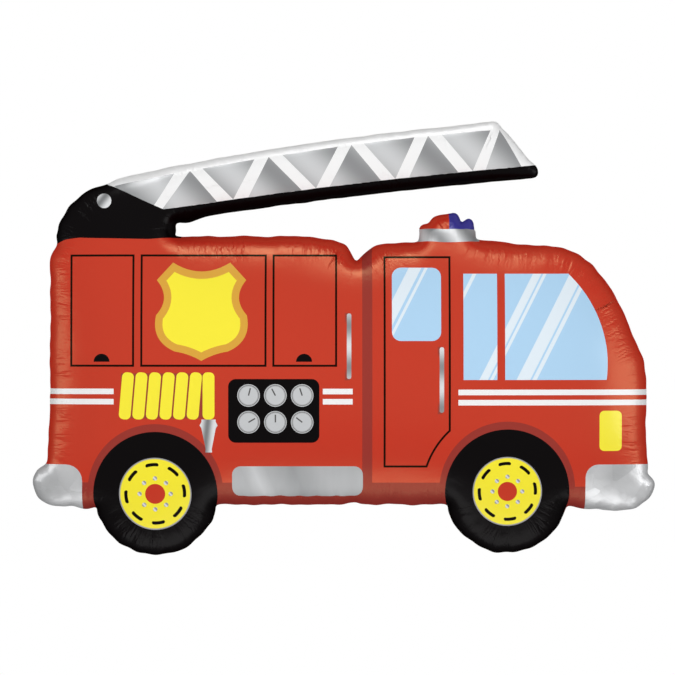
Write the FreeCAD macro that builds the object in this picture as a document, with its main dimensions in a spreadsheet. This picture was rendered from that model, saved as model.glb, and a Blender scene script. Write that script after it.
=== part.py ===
"""A foil balloon in the shape of a fire engine.

Two printed films, front and back, are welded together round one outline and swell into lobes when the
balloon is filled: a box and a cab, two wheels, two bumpers, a turntable with its ladder, and a beacon. Film
does not stretch, so each lobe is made of flat facets with creases between them.
Everything else is print. Each colour of print is parted from the film as a piece of its own, the welded
margin runs round the outline, and the filling tail lies folded up behind, with its valve sleeve inside.

X runs along the engine towards its cab, Y from the front film to the back film, and Z up. The films meet
at Y = 0, where the weld is.
"""
import FreeCAD, Part
import math
import os
import Sketcher

doc = FreeCAD.newDocument("FireEngineBalloon")

# alias, millimetres (a climb is millimetres up for each along), what the cell sets
SIZES = [
    ("film_wall", 1.0, "thickness of the modelled film"),
    ("seam_width", 5.0, "width of the welded margin"),
    ("gap_along", 18.0, "place of the gap between box and cab, ahead of the origin"),
    ("box_length", 449.0, "box, from its rear end to the gap"),
    ("cab_length", 421.0, "cab, from the gap to its front end"),
    ("top_line", 190.0, "top of the box above the origin"),
    ("bottom_line", 197.0, "bottom of the box below the origin"),
    ("box_thick", 225.0, "thickness of the filled box"),
    ("cab_thick", 212.0, "thickness of the filled cab"),
    ("wheel_radius", 86.0, "radius of a wheel's lobe"),
    ("wheel_puff", 75.0, "how far a wheel's lobe swells to each side"),
    ("wheel_lift", 14.0, "wheel centres above the bottom of the box"),
    ("rear_wheel_in", 156.0, "rear wheel's centre from the rear end"),
    ("front_wheel_in", 199.0, "front wheel's centre from the front end"),
    ("tyre_print", 90.5, "outer radius of a printed tyre"),
    ("hub_print", 52.8, "outer radius of a printed hub"),
    ("hub_dot", 14.7, "radius of the dot in a hub"),
    ("arch_width", 8.4, "width of the dark arch over a wheel"),
    ("sill_height", 31.0, "height of the dark sill"),
    ("pillar_width", 14.6, "width of the dark pillar beside the gap"),
    ("bumper_puff", 43.0, "how far a bumper's lobe swells to each side"),
    ("rear_bumper_half", 31.0, "half the length of the rear bumper's lobe"),
    ("front_bumper_half", 45.5, "half the length of the front bumper's lobe"),
    ("bumper_rise", 29.0, "half the height of a bumper's lobe"),
    ("turntable_thick", 85.0, "thickness of the turntable's lobe"),
    ("pivot_in", 81.0, "ladder's pivot from the rear end"),
    ("ladder_thick", 64.0, "thickness of the ladder's lobe"),
    ("ladder_length", 632.0, "ladder, from its pivot to its tip"),
    ("chord_rise", 72.0, "upper edge of the panes above the box, at the pivot"),
    ("chord_climb", 0.2196, "climb of that edge at the pivot"),
    ("chord_bow", 4080.0, "radius of that edge"),
    ("chord_band", 9.3, "lobe above that edge"),
    ("rail_rise", 27.7, "upper edge of the ladder's rail above the box, at the pivot"),
    ("rail_climb", 0.1685, "climb of that edge at the pivot"),
    ("rail_bow", 7300.0, "radius of that edge"),
    ("rail_depth", 15.5, "lobe below that edge"),
    ("beacon_in", 135.5, "middle of the beacon ahead of the gap"),
    ("beacon_width", 81.0, "length of the beacon's base"),
    ("beacon_rise", 14.0, "top of the beacon's base above the box"),
    ("beacon_thick", 44.0, "thickness of the beacon's base"),
    ("lamp_half", 36.0, "half the length of the beacon's lamp"),
    ("lamp_rise", 19.0, "height of the lamp above its base"),
    ("stripe_width", 8.9, "width of a white stripe"),
    ("stripe_gap", 5.7, "red left between the two stripes"),
    ("stripe_line", 42.0, "middle of the stripes below the origin"),
    ("window_head", 137.5, "upper edge of the fixed windows above the origin"),
    ("window_sill", 17.0, "lower edge of the fixed windows below the origin"),
    ("hose_width", 17.3, "width of the hose"),
    ("hose_pitch", 19.8, "distance from one turn of the hose to the next"),
    ("hose_head", 5.9, "upper end of the hose below the origin"),
    ("hose_drop", 68.5, "height of the hanging hose"),
    ("dial_radius", 17.0, "radius of a gauge dial"),
    ("dial_pitch", 39.7, "distance from dial to dial"),
    ("board_edge", 9.5, "black left round the dials"),
    ("step_height", 45.2, "height of the running board"),
    ("step_lift", 31.7, "middle of the running board above the bottom of the box"),
    ("handle_width", 6.6, "width of a door handle"),
    ("handle_length", 95.0, "length of a door handle"),
    ("latch_radius", 11.7, "radius of a locker's latch"),
    ("shield_rim", 10.8, "width of the shield's rim"),
    ("bolt_radius", 10.5, "radius of the turntable's pivot bolt"),
    ("tail_in", 118.0, "middle of the filling tail behind the gap"),
    ("tail_width", 26.0, "width of the filling tail"),
    ("tail_rise", 62.0, "height that the folded tail climbs behind the box"),
    ("tail_clear", 0.4, "space between the folded tail and the back film"),
    ("valve_width", 18.0, "width of the valve sleeve in the tail"),
    ("valve_show", 5.0, "valve sleeve that shows past the tail"),
]

sheet = doc.addObject("Spreadsheet::Sheet", "Sizes")
for row, (alias, value, meaning) in enumerate(SIZES, start=1):
    sheet.set(f"A{row}", meaning)
    sheet.set(f"B{row}", str(value))
    sheet.setAlias(f"B{row}", alias)
doc.recompute()

# Places that many pieces are set from, as expressions on the sheet.
GAP = "Sizes.gap_along"
REAR = "(Sizes.gap_along - Sizes.box_length)"
FRONT = "(Sizes.gap_along + Sizes.cab_length)"
TOP = "Sizes.top_line"
BOTTOM = "(-Sizes.bottom_line)"
PIVOT = f"({REAR} + Sizes.pivot_in)"
TIP = f"({PIVOT} + Sizes.ladder_length)"
BEACON = f"({GAP} + Sizes.beacon_in)"
TAIL = f"({GAP} - Sizes.tail_in)"
WHEEL_HEIGHT = f"({BOTTOM} + Sizes.wheel_lift)"
WHEELS = {"rear": f"({REAR} + Sizes.rear_wheel_in)", "front": f"({FRONT} - Sizes.front_wheel_in)"}

REACH = 400.0  # a cutting prism reaches this far to each side, past the thickest lobe
PAST = 200.0  # and this far past the outline, where a print runs out over the weld
STAND = FreeCAD.Rotation(FreeCAD.Vector(1, 0, 0), 90)  # turns a flat shape's X and Y to X and Z


def add(kind, name, **sizes):
    """A document object with its properties bound to expressions; x, y and z are its place."""
    made = doc.addObject(kind, name)
    made.Label = name
    if "Refine" in made.PropertiesList:
        made.Refine = False  # the lobes' own faces stay whole, so nothing needs merging
    for key, value in sizes.items():
        path = f"Placement.Base.{key}" if key in ("x", "y", "z") else key
        made.setExpression(path, str(value))
    return made


def join(name, shapes):
    joined = add("Part::MultiFuse", name)
    joined.Shapes = shapes
    return joined


def take(kind, name, base, tool):
    made = add(kind, name)
    made.Base = base
    made.Tool = tool
    return made


# Lobes. The front half of a lobe is built at any inset: 0 gives the film's outside, the wall its inside, and
# less than 0 grows it by the weld or by the folds of the tail. Behind the weld it runs on a little, to be cut
# there.

# anchor, along from it, drop below the top line, lift above the bottom line, share of the thickness
BOX_STATIONS = [
    (REAR, 0, 42, 30, 0.03),
    (REAR, 5, 22, 13, 0.24),
    (REAR, 20, 9, 5, 0.47),
    (REAR, 55, 2, 1, 0.74),
    (REAR, 120, 0, 0, 0.94),
    (REAR, 230, 0, 0, 1.0),
    (GAP, -70, 0, 0, 0.98),
    (GAP, -20, 9, 0, 0.97),
    (GAP, -3, 32, 2, 0.96),
    (GAP, 32, 105, 60, 0.84),
]
CAB_STATIONS = [
    (GAP, -32, 105, 60, 0.84),
    (GAP, 3, 32, 2, 0.99),
    (GAP, 30, 12, 0, 1.0),
    (GAP, 90, 8, 0, 1.0),
    (FRONT, -239, 5, 0, 1.0),
    (FRONT, -130, 17, 0, 0.94),
    (FRONT, -80, 41, 0, 0.8),
    (FRONT, -50, 74, 2, 0.66),
    (FRONT, -30, 115, 8, 0.52),
    (FRONT, -8, 168, 28, 0.26),
    (FRONT, 0, 215, 52, 0.03),
]
# along from the rear end, top above the top line, share of the thickness
TURNTABLE_STATIONS = [
    (10, -2, 0.12),
    (19, 25, 0.47),
    (33, 48, 0.7),
    (59, 69, 0.92),
    (86, 76, 1.0),
    (131, 72, 0.94),
    (163, 50, 0.7),
    (174, 32, 0.24),
]
# anchor, along from it, top above the lobe's own upper edge, share of the thickness
LADDER_STATIONS = [
    (PIVOT, -4, -10, 0.5),
    (PIVOT, 20, -1, 0.8),
    (PIVOT, 95, 0, 1.0),
    (PIVOT, 183, 0, 1.0),
    (PIVOT, 262, 0, 1.0),
    (TIP, -290, 0, 1.0),
    (TIP, -200, 0, 1.0),
    (TIP, -120, 0, 1.0),
    (TIP, -60, 2, 0.95),
    (TIP, -34, -30, 0.65),
    (TIP, -14, -57, 0.3),
    (TIP, 0, -70, 0.1),
]
# share of half the base's length, top below the base's top, share of the thickness
BEACON_STATIONS = [
    (-1.0, 10, 0.2),
    (-0.9, 3, 0.6),
    (-0.5, 1, 0.95),
    (0.5, 1, 0.95),
    (0.9, 3, 0.6),
    (1.0, 10, 0.2),
]
ROOT_DEPTH = 40  # the turntable and the beacon's base go this far down into the box and the cab
LONG_FOLDS = 8  # facets over a long lobe from weld to weld
RUN_ON = 0.5  # share of its outermost facet that a long lobe is carried on behind the weld
ROUND_RINGS = [-0.12, 0.12, 0.36, 0.6, 0.86]  # quarter turns of a round lobe's rings, from behind the weld


def chord_height(along):
    """Upper edge of the ladder's panes: an arc that climbs from the pivot."""
    out = f"({along} - {PIVOT})"
    return f"({TOP} + Sizes.chord_rise + Sizes.chord_climb * {out} - {out} ^ 2 / (2 * Sizes.chord_bow))"


def rail_height(along):
    """Upper edge of the ladder's rail."""
    out = f"({along} - {PIVOT})"
    return f"({TOP} + Sizes.rail_rise + Sizes.rail_climb * {out} - {out} ^ 2 / (2 * Sizes.rail_bow))"


def box_sections():
    for anchor, along, drop, lift, share in BOX_STATIONS:
        yield f"{anchor} + {along}", f"{TOP} - {drop}", f"{BOTTOM} + {lift}", f"Sizes.box_thick * {share}"


def cab_sections():
    for anchor, along, drop, lift, share in CAB_STATIONS:
        yield f"{anchor} + {along}", f"{TOP} - {drop}", f"{BOTTOM} + {lift}", f"Sizes.cab_thick * {share}"


def turntable_sections():
    for along, rise, share in TURNTABLE_STATIONS:
        thick = f"Sizes.turntable_thick * {share}"
        yield f"{REAR} + {along}", f"{TOP} + {rise}", f"{TOP} - {ROOT_DEPTH}", thick


def ladder_sections():
    for anchor, along, rise, share in LADDER_STATIONS:
        place = f"({anchor} + {along})"
        top = f"{chord_height(place)} + Sizes.chord_band + {rise}"
        yield place, top, f"{rail_height(place)} - Sizes.rail_depth", f"Sizes.ladder_thick * {share}"


def beacon_sections():
    for side, drop, share in BEACON_STATIONS:
        place = f"{BEACON} + {side} * Sizes.beacon_width / 2"
        top = f"{TOP} + Sizes.beacon_rise - {drop}"
        yield place, top, f"{TOP} - {ROOT_DEPTH}", f"Sizes.beacon_thick * {share}"


def measure(expression):
    """Millimetres that an expression on the sheet gives."""
    return float(sheet.evalExpression(str(expression)))


def facet_solid(name, rings, cap_first, cap_last):
    """A solid whose skin runs over rings of points, folded flat between each ring and the next."""
    count = len(rings[0])
    faces = []
    for near, far in zip(rings, rings[1:]):
        for place in range(count):
            after = (place + 1) % count
            for corners in ((near[place], near[after], far[after]), (near[place], far[after], far[place])):
                faces.append(Part.Face(Part.makePolygon([*corners, corners[0]])))
    for wanted, ring in ((cap_first, rings[0]), (cap_last, rings[-1])):
        if wanted:
            faces.append(Part.Face(Part.makePolygon([*ring, ring[0]])))
    skin = Part.makeCompound(faces)
    skin.sewShape()
    solid = Part.makeSolid(skin.Shells[0])
    if solid.Volume < 0:
        solid.reverse()
    made = add("Part::Feature", name)
    made.Shape = solid
    return made


def run_past_weld(ring):
    """The ends of a half ring carried on straight behind the weld, and joined by a ridge."""
    first = ring[0] + (ring[0] - ring[1]) * RUN_ON
    last = ring[-1] + (ring[-1] - ring[-2]) * RUN_ON
    ridge = (first + last) * 0.5
    ridge.y += abs(first.y)
    return [first, *ring[1:-1], last, ridge]


def long_lobe(name, sections, inset):
    """Half a lobe through upright half ellipses; its two ends draw in by the inset as well."""
    sections = list(sections)
    gap = measure(inset)
    rings = []
    for number, (place, top, low, thick) in enumerate(sections):
        inward = 1 - 2 * number / (len(sections) - 1)
        along = measure(place) + inward * gap
        high, deep = measure(top), measure(low)
        tall = (high - deep) / 2 - gap
        puff = measure(thick) / 2 - gap
        ring = []
        for fold in range(LONG_FOLDS + 1):
            turn = math.pi * fold / LONG_FOLDS
            height = (high + deep) / 2 + tall * math.cos(turn)
            ring.append(FreeCAD.Vector(along, -puff * math.sin(turn), height))
        rings.append(run_past_weld(ring))
    return facet_solid(name, rings, True, True)


def round_lobe(name, along, height, half_length, half_height, half_thick, folds, inset):
    """Half a round lobe, creased from its rim to its middle."""
    gap = measure(inset)
    reach = measure(half_length) - gap
    rise = measure(half_height) - gap
    puff = measure(half_thick) - gap
    rings = []
    for share in ROUND_RINGS:
        depth = share * math.pi / 2
        ring = []
        for fold in range(folds):
            turn = 2 * math.pi * (fold + 0.5) / folds
            spread = math.cos(depth)
            ring.append(
                FreeCAD.Vector(
                    measure(along) + reach * spread * math.cos(turn),
                    -puff * math.sin(depth),
                    measure(height) + rise * spread * math.sin(turn),
                )
            )
        rings.append(ring)
    return facet_solid(name, rings, True, True)


WHEEL_LOBE = ("Sizes.wheel_radius", "Sizes.wheel_radius", "Sizes.wheel_puff", 24)
REAR_BUMPER = (f"{REAR} + 11", f"{BOTTOM} + 27", "Sizes.rear_bumper_half", "Sizes.bumper_rise")
FRONT_BUMPER = (f"{FRONT} - 35.5", f"{BOTTOM} + 20.5", "Sizes.front_bumper_half", "Sizes.bumper_rise")
LAMP = (BEACON, f"{TOP} + Sizes.beacon_rise", "Sizes.lamp_half", "Sizes.lamp_rise")
# name, place along, height of its middle, half its length, height and thickness, facets round it
ROUND_LOBES = [
    ("rear_wheel", WHEELS["rear"], WHEEL_HEIGHT, *WHEEL_LOBE),
    ("front_wheel", WHEELS["front"], WHEEL_HEIGHT, *WHEEL_LOBE),
    ("rear_bumper", *REAR_BUMPER, "Sizes.bumper_puff", 14),
    ("front_bumper", *FRONT_BUMPER, "Sizes.bumper_puff", 16),
    ("lamp", *LAMP, "Sizes.beacon_thick * 0.42", 14),
]


def swollen(label, inset):
    """The front halves of all lobes at one inset, as one."""
    lobes = [
        long_lobe(f"{label}_box", box_sections(), inset),
        long_lobe(f"{label}_cab", cab_sections(), inset),
        long_lobe(f"{label}_turntable", turntable_sections(), inset),
        long_lobe(f"{label}_ladder", ladder_sections(), inset),
        long_lobe(f"{label}_beacon", beacon_sections(), inset),
    ]
    for name, *sizes in ROUND_LOBES:
        lobes.append(round_lobe(f"{label}_{name}", *sizes, inset))
    return join(f"{label}_lobes", lobes)


# Cutting prisms. All of them run along Y, so a print keeps its outline as seen from the front.


def block(name, left, right, low, high):
    prism = add(
        "Part::Box",
        name,
        Length=f"({right}) - ({left})",
        Width=2 * REACH,
        Height=f"({high}) - ({low})",
        x=left,
        y=-REACH,
        z=low,
    )
    return prism


def disc(name, along, height, radius):
    prism = add("Part::Cylinder", name, Radius=radius, Height=2 * REACH, x=along, y=REACH, z=height)
    prism.Placement.Rotation = STAND
    return prism


def through(name, face):
    prism = add("Part::Extrusion", name, LengthFwd=2 * REACH)
    prism.Base = face
    prism.DirMode = "Custom"
    prism.Dir = FreeCAD.Vector(0, 1, 0)
    prism.Solid = True
    prism.Symmetric = True
    return prism


def card(name, middle, height, wide, tall, corner, lean=0.0):
    """A rounded rectangle about its middle, leaning forwards by some degrees."""
    turn = FreeCAD.Rotation(FreeCAD.Vector(0, 1, 0), lean)
    core = add("Part::Plane", f"{name}_core")
    core.setExpression("Length", f"{wide} - 2 * ({corner})")
    core.setExpression("Width", f"{tall} - 2 * ({corner})")
    core.Placement.Rotation = turn.multiply(STAND)
    right = turn.multVec(FreeCAD.Vector(1, 0, 0))
    up = turn.multVec(FreeCAD.Vector(0, 0, 1))
    back = f"({wide} - 2 * ({corner})) / 2"
    down = f"({tall} - 2 * ({corner})) / 2"
    core.setExpression("Placement.Base.x", f"{middle} - {right.x} * {back} - ({up.x}) * {down}")
    core.setExpression("Placement.Base.z", f"{height} - ({right.z}) * {back} - {up.z} * {down}")
    rounded = add("Part::Offset2D", f"{name}_rounded", Value=corner)
    rounded.Source = core
    return through(name, rounded)


def outline(name, corners):
    """A closed sketch in the XZ plane. Each corner is x, z and how far the edge to the next one bows out
    to the left of its run; all corners are bound to the sheet."""
    sketch = add("Sketcher::SketchObject", name)
    sketch.Placement.Rotation = STAND
    points = [FreeCAD.Vector(measure(x), measure(z), 0) for x, z, bow in corners]
    ends = []
    for number, (x, z, bow) in enumerate(corners):
        start = points[number]
        finish = points[(number + 1) % len(points)]
        if not bow:
            edge = sketch.addGeometry(Part.LineSegment(start, finish))
            ends.append((edge, 1, 2))
            continue
        run = finish - start
        left = FreeCAD.Vector(-run.y, run.x, 0).normalize()
        edge = sketch.addGeometry(Part.Arc(start, (start + finish) * 0.5 + left * bow, finish))
        first, last = sketch.getPoint(edge, 1), sketch.getPoint(edge, 2)
        runs_forward = first.distanceToPoint(start) < last.distanceToPoint(start)
        ends.append((edge, 1, 2) if runs_forward else (edge, 2, 1))
    for number, (x, z, bow) in enumerate(corners):
        edge, first, last = ends[number]
        following, following_first, following_last = ends[(number + 1) % len(ends)]
        sketch.addConstraint(Sketcher.Constraint("Coincident", edge, last, following, following_first))
        for kind, value, place in (("DistanceX", x, points[number].x), ("DistanceY", z, points[number].y)):
            index = sketch.addConstraint(Sketcher.Constraint(kind, -1, 1, edge, first, place))
            sketch.setExpression(f"Constraints[{index}]", value)
        if bow:
            arc = sketch.Geometry[edge]
            sketch.addConstraint(Sketcher.Constraint("Radius", edge, arc.Radius))
    return sketch


# Prints, each a prism that parts its colour from the film.

# anchor, left edge along from it, right edge, low edge and high edge above the origin, corner radius
DOOR_WINDOW = (GAP, 51.6, 123.0, 39.6, 146.2, 13.0)
LAMP_PRINT = (FRONT, -67.0, -34.3, -120.6, -62.0, 7.0)
# anchor, along from it, middle above the origin
HANDLES = [(GAP, -10.7, 32.1), (GAP, 124.0, -17.0)]
# place of a latch ahead of the rear end; its flat edge is this far above the origin
LATCHES = [78.3, 373.0]
LATCH_FLAT = 9.4
# left edge ahead of the cab's front end, right edge
FIXED_WINDOW = (-265.5, -216.4)
QUARTER_WINDOW = (-205.0, -55.0)
# ahead of the pivot: left corner, right corner, point; a pane hangs from the upper edge or stands on the rail
PANES = [
    ("hang", 14, 102, 67),
    ("stand", 84, 164, 125),
    ("hang", 143, 219, 188),
    ("stand", 210, 288, 240),
    ("hang", 260, 341, 309),
    ("stand", 329, 404, 361),
    ("hang", 379, 453, 425),
    ("stand", 445, 517, 473),
    ("hang", 493, 564, 538),
    ("stand", 557, 609, 578),
]
# ahead of the shield's middle, above the origin, how far the edge to the next corner bows out
SHIELD_HALF = [(41.6, 153.7, 0), (65.0, 128.2, -11), (66.0, 77.0, 12), (38.8, 24.4, -2)]
SHIELD_POINT = 10.7
SHIELD_DIP = 13.0  # the edge between the horns dips by this
SHIELD_IN = 223.8  # middle of the shield ahead of the rear end
# half the width of the nozzle, and how far below the hose's end
NOZZLE = [(10.3, 0), (13.1, 8.5), (10.4, 13), (4.4, 43), (4.9, 48)]
HOSE_TURNS = 6
HOSE_IN = 114.0  # middle of the first turn ahead of the rear end
HOSE_LEAN = 5.0  # degrees
RUN_GAP = 1.5  # extra space before the run that ends in the nozzle
BOARD_IN = 329.0  # middle of the gauge board ahead of the rear end
BOARD_BELOW = 61.9  # and below the origin
BOARD_CORNER = 8.8
STEP_IN = 268.0  # rear end of the running board ahead of the rear end of the box
STEP_PAST = 9.5  # its other end past the gap
STEP_CORNER = 9.5


def card_between(name, anchor, left, right, low, high, corner):
    middle = f"{anchor} + {(left + right) / 2}"
    return card(name, middle, (low + high) / 2, right - left, high - low, corner)


def gauge_dials():
    dials = []
    for column in (-1, 0, 1):
        for line in (-0.5, 0.5):
            along = f"{REAR} + {BOARD_IN} + {column} * Sizes.dial_pitch"
            height = f"-{BOARD_BELOW} + {line} * Sizes.dial_pitch"
            dials.append(disc(f"dial_{len(dials)}", along, height, "Sizes.dial_radius"))
    return join("dial_prisms", dials)


def gauge_board():
    room = "2 * (Sizes.dial_radius + Sizes.board_edge)"
    size = (f"2 * Sizes.dial_pitch + {room}", f"Sizes.dial_pitch + {room}")
    return card("board_prism", f"{REAR} + {BOARD_IN}", f"-{BOARD_BELOW}", *size, BOARD_CORNER)


HOSE_RUN = f"({REAR} + {HOSE_IN} + {HOSE_TURNS} * Sizes.hose_pitch + {RUN_GAP})"  # middle of the last run


def hose():
    middle = "-Sizes.hose_head - Sizes.hose_drop / 2"
    size = ("Sizes.hose_width", "Sizes.hose_drop")
    corner = "Sizes.hose_width * 0.4"
    turns = []
    for number in range(HOSE_TURNS):
        along = f"{REAR} + {HOSE_IN} + {number} * Sizes.hose_pitch"
        turns.append(card(f"turn_{number}", along, middle, *size, corner, HOSE_LEAN))
    turns.append(card("hose_run", HOSE_RUN, middle, *size, corner))
    return join("hose_prisms", turns)


def hose_nozzle():
    end = "(-Sizes.hose_head - Sizes.hose_drop)"
    right = [(f"{HOSE_RUN} + {half}", f"{end} - {below}", 0) for half, below in NOZZLE]
    left = [(f"{HOSE_RUN} - {half}", f"{end} - {below}", 0) for half, below in reversed(NOZZLE)]
    return through("nozzle_prism", outline("nozzle_outline", right + left))


def shield():
    """The shield's whole outline and its face inside the rim."""
    middle = f"{REAR} + {SHIELD_IN}"
    right = [(f"{middle} + {half}", str(height), bow) for half, height, bow in SHIELD_HALF]
    bows = [bow for half, height, bow in SHIELD_HALF]
    left = []
    for (half, height, bow), bow_back in zip(reversed(SHIELD_HALF), reversed([0] + bows[:-1])):
        left.append((f"{middle} - {half}", str(height), bow_back))
    left[-1] = (left[-1][0], left[-1][1], -SHIELD_DIP)
    corners = right + [(middle, str(SHIELD_POINT), bows[-1])] + left
    whole = outline("shield_outline", corners)
    face = add("Part::Offset2D", "shield_face_outline", Value="-Sizes.shield_rim")
    face.Source = whole
    face.Join = 2
    return through("shield_prism", whole), through("shield_face_prism", face)


def handles():
    bars = []
    size = ("Sizes.handle_width", "Sizes.handle_length", "Sizes.handle_width * 0.45")
    for anchor, along, height in HANDLES:
        bars.append(card(f"handle_{len(bars)}", f"{anchor} + {along}", height, *size))
    return join("handle_prisms", bars)


def latches():
    moons = []
    for along in LATCHES:
        place = f"{REAR} + {along}"
        wheel = disc(f"latch_disc_{len(moons)}", place, LATCH_FLAT, "Sizes.latch_radius")
        room = (f"{place} - 50", f"{place} + 50", LATCH_FLAT, LATCH_FLAT + 50)
        above = block(f"latch_half_{len(moons)}", *room)
        moons.append(take("Part::Common", f"latch_{len(moons)}", wheel, above))
    return join("latch_prisms", moons)


def windows():
    sill = "(-Sizes.window_sill)"
    head = "Sizes.window_head"
    door = card_between("door_window", *DOOR_WINDOW)
    left, right = FIXED_WINDOW
    fixed = block("fixed_window", f"{FRONT} + {left}", f"{FRONT} + {right}", sill, head)
    left, right = QUARTER_WINDOW
    corners = [
        (f"{FRONT} + {left}", sill, 0),
        (f"{FRONT} + {right}", sill, 0),
        (f"{FRONT} + {right}", f"{sill} + 58", -6.0),
        (f"{FRONT} + {right} - 56", head, 0),
        (f"{FRONT} + {left}", head, 0),
    ]
    quarter = through("quarter_window", outline("quarter_outline", corners))
    return join("window_prisms", [door, fixed, quarter])


def running_board():
    left = f"({REAR} + {STEP_IN})"
    right = f"({GAP} + {STEP_PAST})"
    place = (f"({left} + {right}) / 2", f"{BOTTOM} + Sizes.step_lift")
    return card("step_prism", *place, f"({right} - {left})", "Sizes.step_height", STEP_CORNER)


def around_wheels(label, radius):
    return [disc(f"{label}_{end}", along, WHEEL_HEIGHT, radius) for end, along in WHEELS.items()]


def shade():
    """Dark arches over both wheels, the sill between them and the pillar beside the gap."""
    arches = around_wheels("arch", "Sizes.tyre_print + Sizes.arch_width")
    sill_top = f"{BOTTOM} + Sizes.sill_height"
    sill = block("sill", WHEELS["rear"], WHEELS["front"], f"{BOTTOM} - {PAST}", sill_top)
    left = f"({GAP} + 8.5)"
    pillar = block("pillar", left, f"{left} + Sizes.pillar_width", sill_top, f"{TOP} + 6")
    return join("shade_prisms", arches + [sill, pillar])


def stripes():
    """Two white lines, broken by the hose, the gauge board and the cab's door."""
    runs = [
        ("rear", f"{REAR} - {PAST}", f"{REAR} + 96"),
        ("middle", f"{GAP} - 48.8", f"{GAP} - 5.5"),
        ("cab", f"{GAP} + 148", f"{FRONT} + {PAST}"),
    ]
    lines = []
    for label, left, right in runs:
        for side in (-1, 1):
            middle = f"(-Sizes.stripe_line + {side} * (Sizes.stripe_gap + Sizes.stripe_width) / 2)"
            low = f"{middle} - Sizes.stripe_width / 2"
            high = f"{middle} + Sizes.stripe_width / 2"
            lines.append(block(f"stripe_{label}_{side + 1}", left, right, low, high))
    return join("stripe_prisms", lines)


def bumper_print(name, along, height, half_length, half_height):
    """An ellipse a little larger than the bumper's lobe."""
    shape = add(
        "Part::Ellipse",
        f"{name}_ring",
        MajorRadius=f"{half_length} + Sizes.seam_width + 1",
        MinorRadius=f"{half_height} + Sizes.seam_width + 1",
        x=along,
        z=height,
    )
    shape.Placement.Rotation = STAND
    return through(f"{name}_prism", shape)


# Where the ladder's white truss and the black of its turntable and rail part.
TRUSS_ROOT = f"({PIVOT} + 86)"
ROOF = f"({TOP} - 2)"


def turntable():
    corners = [
        (f"{REAR} - {PAST}", ROOF, 0),
        (f"{TRUSS_ROOT} + 18", ROOF, 0),
        (f"{TRUSS_ROOT} + 18", f"{TOP} + 25", 0),
        (TRUSS_ROOT, rail_height(TRUSS_ROOT), 0),
        (PIVOT, f"{TOP} + 80", 0),
        (f"{PIVOT} - 10", f"{TOP} + {PAST}", 0),
        (f"{REAR} - {PAST}", f"{TOP} + {PAST}", 0),
    ]
    return through("turntable_prism", outline("turntable_outline", corners))


def panes():
    triangles = []
    for kind, left, right, point in PANES:
        far = rail_height if kind == "hang" else chord_height
        near = chord_height if kind == "hang" else rail_height
        corners = []
        for out, edge in ((left, near), (right, near), (point, far)):
            along = f"({PIVOT} + {out})"
            corners.append((along, edge(along), 0))
        number = len(triangles)
        triangles.append(through(f"pane_{number}", outline(f"pane_outline_{number}", corners)))
    return join("pane_prisms", triangles)


def above_rail():
    """Everything over the rail's upper edge, which is an arc."""
    crest_out = "(Sizes.rail_climb * Sizes.rail_bow)"
    under = disc(
        "rail_arc",
        f"{PIVOT} + {crest_out}",
        f"{TOP} + Sizes.rail_rise + {crest_out} ^ 2 / (2 * Sizes.rail_bow) - Sizes.rail_bow",
        "Sizes.rail_bow",
    )
    over = block("truss_space", f"{PIVOT} - {PAST}", f"{TIP} + {PAST}", f"{TOP} + 20", f"{TOP} + 2 * {PAST}")
    return take("Part::Cut", "truss_prism", over, under)


def beacon_prints():
    """The beacon's base, then its lamp's two colours."""
    left = f"({BEACON} - Sizes.beacon_width / 2 - Sizes.seam_width - 1)"
    right = f"({BEACON} + Sizes.beacon_width / 2 + Sizes.seam_width + 1)"
    base_top = f"({TOP} + Sizes.beacon_rise)"
    lamp_top = f"{base_top} + 2 * Sizes.lamp_rise"
    return [
        block("beacon_base_prism", left, right, f"{TOP} - 5", base_top),
        block("beacon_red_prism", left, BEACON, base_top, lamp_top),
        block("beacon_blue_prism", BEACON, right, base_top, lamp_top),
    ]


# The film: what lies between the lobes' outsides and their insides, and its front half.
outer = swollen("outer", 0)
inner = swollen("inner", "Sizes.film_wall")
film = take("Part::Cut", "film", outer, inner)
front_space = block("front_space", -3 * REACH, 3 * REACH, -3 * REACH, 3 * REACH)
front_space.setExpression("Width", str(REACH))
front_film = take("Part::Common", "front_film", film, front_space)

shield_whole, shield_face = shield()
base_prism, red_prism, blue_prism = beacon_prints()
rear_tyre, front_tyre = around_wheels("tyre", "Sizes.tyre_print")
rail_space = block("rail_space", f"{PIVOT} - {PAST}", f"{TIP} + {PAST}", f"{TOP} + 6", f"{TOP} + 2 * {PAST}")

dots = join("hub_dots", around_wheels("hub_dot", "Sizes.hub_dot"))
hubs = join("hub_discs", around_wheels("hub_disc", "Sizes.hub_print"))

# Each print is cut from the zone of the film that holds it.
FOOT_TOP = f"{WHEEL_HEIGHT} + Sizes.tyre_print + 12"
# name, left, right, low and high
ZONES = [
    ("roof", f"{REAR} - {PAST}", f"{FRONT} + {PAST}", f"{TOP} - 6", f"{TOP} + 3 * {PAST}"),
    ("box_side", f"{REAR} + 40", GAP, f"{BOTTOM} + 65", f"{TOP} - 6"),
    ("cab_side", f"{GAP} + 25", f"{FRONT} - 2", f"{BOTTOM} + 70", f"{TOP} - 6"),
    ("foot", f"{REAR} - {PAST}", f"{FRONT} + {PAST}", f"{BOTTOM} - {PAST}", FOOT_TOP),
]
zones = {"film": front_film}
for name, *edges in ZONES:
    zones[name] = take("Part::Common", f"{name}_film", front_film, block(f"{name}_space", *edges))

# A print that runs over the weld has a front and a back piece, and any other has both of its halves in one.
BEACON_PRINTS = ["beacon_base", "beacon_red", "beacon_blue"]
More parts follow.
